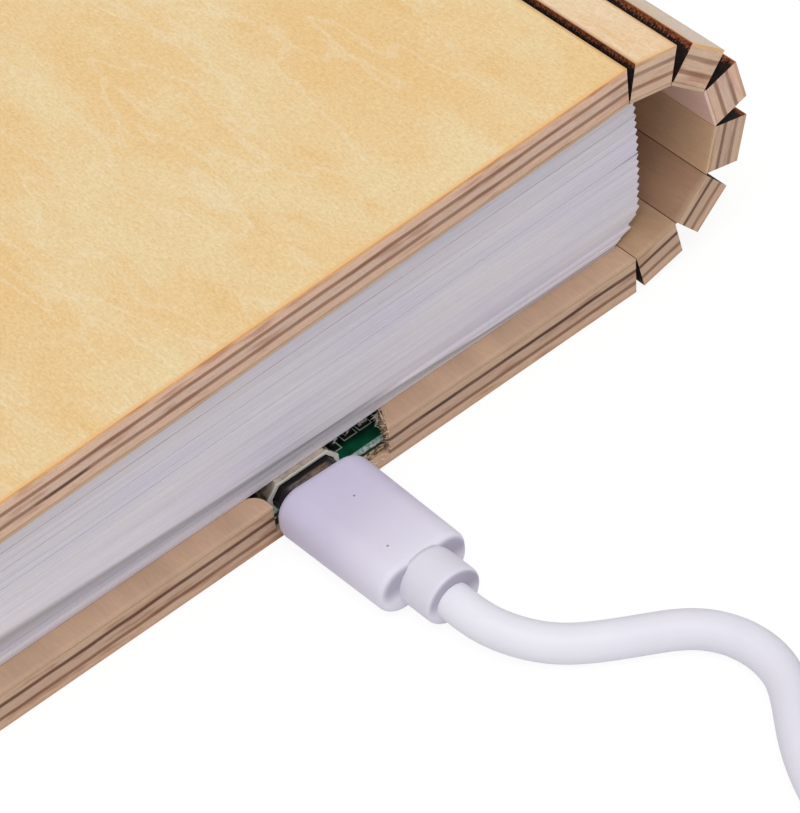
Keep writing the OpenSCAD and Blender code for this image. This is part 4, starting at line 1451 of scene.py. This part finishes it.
@dataclass(frozen=True)
class ChargingPort:
    """Board, socket, cell, light strip and magnets, and the frayed wood of the notch.

    Args:
        notch_floor: floor of the notch in the back cover's frame, in mm.
        scatter: how far a splinter strays from its line, in mm.
    """

    notch_floor: float = -3.3
    scatter: float = 0.25

    def build(self) -> None:
        """Dresses the electric parts."""
        finishes: tuple[tuple[tuple[str, ...], Finish, str], ...] = (
            (("circuit_board",), SolderMask(), "solder_mask"),
            # The socket's mouth carries a painted highlight on its rim.
            (("usb_socket",), WornMetal(srgb(236, 224, 204), rough=0.42, metal=0.85,
                                        rim_highlight=srgb(255, 253, 244), mouth=SOCKET_MOUTH),
             "socket_plating"),
            (("socket_tongue",), Moulding(srgb(30, 30, 33), 0.5), "socket_black"),
            (("charge_chip", "hall_switch"), Moulding(srgb(38, 37, 38), 0.55), "chip_resin"),
            (("board_passives",), EndCapped(3.9, 5.5), "passive_ceramic"),
            (("battery_cell",), CellFoil(), "cell_pouch"),
            (("light_strip",), Moulding(srgb(240, 239, 232), 0.5), "strip_lacquer"),
            (("strip_lamps",), LampGel(), "lamp_phosphor"),
            (("inner_leads",), Moulding(srgb(176, 34, 30), 0.42), "lead_red"),
            (("back_magnets", "front_magnets"), WornMetal(srgb(205, 205, 208), rough=0.3), "nickel"))
        for nodes, finish, name in finishes:
            dress(nodes, finish.build(name))
        self.fray()

    def rule(self) -> Rule:
        """Geometry tree of splinters scattered along a sloping line of cut wood."""
        rule = Rule("frayed_wood")
        start, end = (rule.size(name, "NodeSocketVector") for name in ("Start", "End"))
        tilt = rule.size("Tilt", "NodeSocketVector")
        count, seed = (rule.size(name, "NodeSocketInt") for name in ("Count", "Seed"))
        height, length, thick = (rule.size(name) for name in ("Height", "Length", "Thick"))
        line = rule.node("GeometryNodeMeshLine", {"Count": count, "Start Location": start},
                         mode="END_POINTS")
        rule.feed(line.inputs["Offset"], end)
        spread = rule.node("FunctionNodeRandomValue", {"Seed": seed}, data_type="FLOAT_VECTOR")
        spread.inputs["Min"].default_value = (-self.scatter * MM, -self.scatter * MM, 0.0)
        spread.inputs["Max"].default_value = (self.scatter * MM, self.scatter * MM, 1.0)
        sx, sy, sz = rule.split(spread.outputs["Value"])
        lift = rule.math("MULTIPLY", sz, height)
        moved = rule.node("GeometryNodeSetPosition", {"Geometry": line.outputs["Mesh"],
                                                      "Offset": rule.join(sx, sy, lift)})
        thorn = rule.node("GeometryNodeMeshCone", {
            "Vertices": 5, "Side Segments": 3, "Radius Bottom": thick, "Radius Top": 0.0, "Depth": length})
        lean = rule.node("FunctionNodeRandomValue", {"Seed": rule.math("ADD", seed, 7)},
                         data_type="FLOAT_VECTOR")
        lean.inputs["Min"].default_value = (-0.5, -0.5, -0.5)
        lean.inputs["Max"].default_value = (0.5, 0.5, 0.5)
        turn = rule.vector("ADD", tilt, lean.outputs["Value"])
        grow = rule.node("FunctionNodeRandomValue", {"Seed": rule.math("ADD", seed, 13)},
                         data_type="FLOAT")
        grow.inputs[2].default_value, grow.inputs[3].default_value = 0.4, 1.3
        placed = rule.node("GeometryNodeInstanceOnPoints", {
            "Points": moved.outputs[0], "Instance": thorn.outputs["Mesh"], "Rotation": turn,
            "Scale": grow.outputs[1]})
        rule.finish(placed.outputs[0])
        return rule

    def fray(self) -> None:
        """Sets splinters on the spine side of the notch and on the front of its floor."""
        rule = self.rule()
        wood = Moulding(srgb(238, 214, 188), 0.8, 0.03, 0.2).build("frayed_fibre")
        chalk = Moulding(srgb(236, 238, 224), 0.8, 0.03, 0.2).build("torn_fibre")
        floor = self.notch_floor
        cuts = (
            Fray("notch_fray_side", wood, (-30.05, -0.02, floor + 0.1), (-28.8, 2.35, floor + 0.1),
                 3.1, (0.2, -0.9, 0.2), 150, 0.55, 0.045),
            Fray("notch_fray_edge", wood, (-29.9, 0.1, -0.4), (-28.7, 2.35, -0.4),
                 0.3, (0.2, -0.5, 0.2), 40, 0.75, 0.06),
            Fray("notch_fray_tuft", chalk, (-29.5, 2.2, -1.7), (-29.0, 2.6, -1.5),
                 0.9, (0.3, -1.3, 0.4), 16, 1.2, 0.055),
            Fray("notch_fray_floor", wood, (-36.0, 0.3, floor - 0.02), (-30.2, 0.3, floor - 0.02),
                 0.06, (1.2, 0.0, 0.6), 150, 0.55, 0.045))
        for number, cut in enumerate(cuts, 3):
            made = rule.make(cut.name, cut.material, Start=BACK.place(*cut.start),
                             End=BACK.place(*cut.end), Tilt=cut.tilt, Count=cut.count, Seed=number,
                             Height=cut.height * MM, Length=cut.length * MM, Thick=cut.thick * MM)
            seat(made, "back")


@dataclass(frozen=True)
class PlugEnd:
    """The plug in the port and the one at the far end of the cable.

    Args:
        middle: place of the plug's axis across the spine and up; all lengths are in mm.
        front: where the grip starts, along the spine.
        back: where it ends.
        collar_back: where the collar ends.
        drift: how far its front sits aside, and how much more its rear does.
        skew: slope of its end faces.
        grip_size: width and height of the grip.
        grip_corner: radius of its long edges.
        grip_taper: how much narrower it is at the cable.
        fillets: length of the fillets at its front and back.
        fillet_depth: how far those fillets go in.
        collar_size: diameter of the collar.
        collar_rim: radius of its fillet at the cable.
        bore: diameter of the hole that the cable fills.
        corner_steps: steps round a corner of a section.
        fillet_steps: steps along a fillet.
    """

    middle: tuple[float, float] = PLUG_AXIS
    front: float = -61.62
    back: float = -75.1
    collar_back: float = COLLAR_BACK
    drift: tuple[float, float] = (-0.12, 0.42)
    skew: float = -0.035
    grip_size: tuple[float, float] = (9.8, 5.8)
    grip_corner: float = 2.6
    grip_taper: float = 0.4
    fillets: tuple[float, float] = (0.95, 0.85)
    fillet_depth: float = 0.75
    collar_size: float = 5.8
    collar_rim: float = 0.5
    bore: float = 3.45
    corner_steps: int = 14
    fillet_steps: int = 8

    def ring(self, width: float, height: float, y: float, corner: float,
             drifts: bool = True) -> list[Vector]:
        """A round-cornered section of the plug, which sits a little askew in its socket.

        Args:
            width: its size across the spine.
            height: its size upwards.
            y: its place along the spine.
            corner: radius of its corners.
            drifts: whether it follows the plug's slant or the cable's axis.

        Returns:
            Its points in metres.
        """
        out = []
        corner = min(corner, width / 2, height / 2)
        share = (self.front - y) / (self.front - self.collar_back)
        aside = self.drift[0] + self.drift[1] * share if drifts else 0.0
        for quarter, (sx, sz) in enumerate(((1, 1), (-1, 1), (-1, -1), (1, -1))):
            for step in range(self.corner_steps + 1):
                turn = math.radians(90 * quarter + 90 * step / self.corner_steps)
                across = sx * (width / 2 - corner) + corner * math.cos(turn)
                up = sz * (height / 2 - corner) + corner * math.sin(turn)
                lean = self.skew * across if drifts else 0.0
                out.append(Vector((self.middle[0] + aside + across, y + lean,
                                   self.middle[1] + up)) * MM)
        return out

    def grip_ring(self, y: float, inset: float) -> list[Vector]:
        """A section of the grip at y, drawn in by inset on every side."""
        width, height = self.grip_size
        return self.ring(width - 2 * inset, height - 2 * inset, y, self.grip_corner - inset)

    def grip(self, material: bpy.types.Material) -> None:
        """The moulded grip: full round sides and filleted ends, narrower towards the cable."""
        rings = []
        front_fillet, back_fillet = self.fillets
        start, end, spans = self.front - front_fillet, self.back + back_fillet, 6
        turns = [math.radians(90 * step / self.fillet_steps) for step in range(self.fillet_steps + 1)]
        for turn in turns:
            rings.append(self.grip_ring(self.front - front_fillet * (1 - math.cos(turn)),
                                        self.fillet_depth * (1 - math.sin(turn))))
        for step in range(1, spans):
            share = step / spans
            rings.append(self.grip_ring(start + (end - start) * share, self.grip_taper / 2 * share))
        for turn in turns:
            inset = self.fillet_depth * (1 - math.cos(turn)) + self.grip_taper / 2
            rings.append(self.grip_ring(self.back + back_fillet * (1 - math.sin(turn)), inset))
        seat(loft("plug_grip", rings, material), "plug", ["plug_body"])

    def collar(self, material: bpy.types.Material) -> None:
        """The round collar, with a soft shoulder at the grip and a filleted rim at the cable."""
        size, rim = self.collar_size, self.collar_rim
        profile = [(self.back + 0.3, size), (self.back - 0.05, size - 0.12),
                   (self.back - 0.3, size - 0.04), (self.back - 0.7, size),
                   (self.back - 2.0, size - 0.02), (self.collar_back + rim, size - 0.05)]
        for step in range(1, self.fillet_steps + 1):
            turn = math.radians(90 * step / self.fillet_steps)
            profile.append((self.collar_back + rim * (1 - math.sin(turn)),
                            size - 0.05 - 2 * rim * (1 - math.cos(turn))))
        rings = [self.ring(wide, wide, y, wide / 2) for y, wide in profile]
        rings.append(self.ring(self.bore, self.bore, self.collar_back, self.bore / 2, False))
        seat(loft("plug_collar_skin", rings, material), "plug", ["plug_collar"])

    def build(self) -> bpy.types.Material:
        """Makes and dresses both plugs and returns the cable's skin."""
        # Painted shade of the end faces of the grip and the collar.
        rear = srgb(182, 176, 194)
        satin = SatinMoulding(srgb(207, 201, 224), srgb(232, 229, 243), rear, srgb(240, 236, 248),
                              (self.front - 3, self.back - 1), ((-6.98, -66.1), (-8.62, -72.3)))
        self.grip(satin.build("plug_lavender"))
        pale = srgb(228, 226, 238)
        collar = SatinMoulding(pale, pale, rear, srgb(236, 232, 244), (self.back, self.collar_back))
        self.collar(collar.build("collar_lavender"))
        dress(["usb_a_grip"], Moulding(srgb(222, 219, 233), 0.5).build("grip_lavender"))
        dress(["plug_tip"], ShadedTipPlating().build("tip_plating"))
        dress(["usb_a_shell"], WornMetal(srgb(208, 205, 198), 0.32, stained=0.1).build("shell_plating"))
        dress(["cable_tie"], Moulding(srgb(42, 41, 44), 0.6).build("tie_rubber"))
        white = srgb(238, 237, 246)
        # The cable darkens a little past its bend: painted shade.
        skin = SatinMoulding(white, srgb(234, 232, 242), white, srgb(240, 238, 247), (-88, -95))
        return skin.build("cable_white")


def main() -> None:
    """Builds the studio, the cable and the parts in order."""
    logging.basicConfig(level=logging.INFO, format="%(name)s: %(message)s")
    bpy.context.scene.view_settings.view_transform = "Standard"
    studio = Studio()
    studio.camera()
    studio.light()
    studio.floor()
    ChargingCable().build(PlugEnd().build())
    Woodwork().build()
    ChargingPort().build()
    PaperFan().build(PagePaper().build("page_paper_white"))


if __name__ == "__main__":
    main()
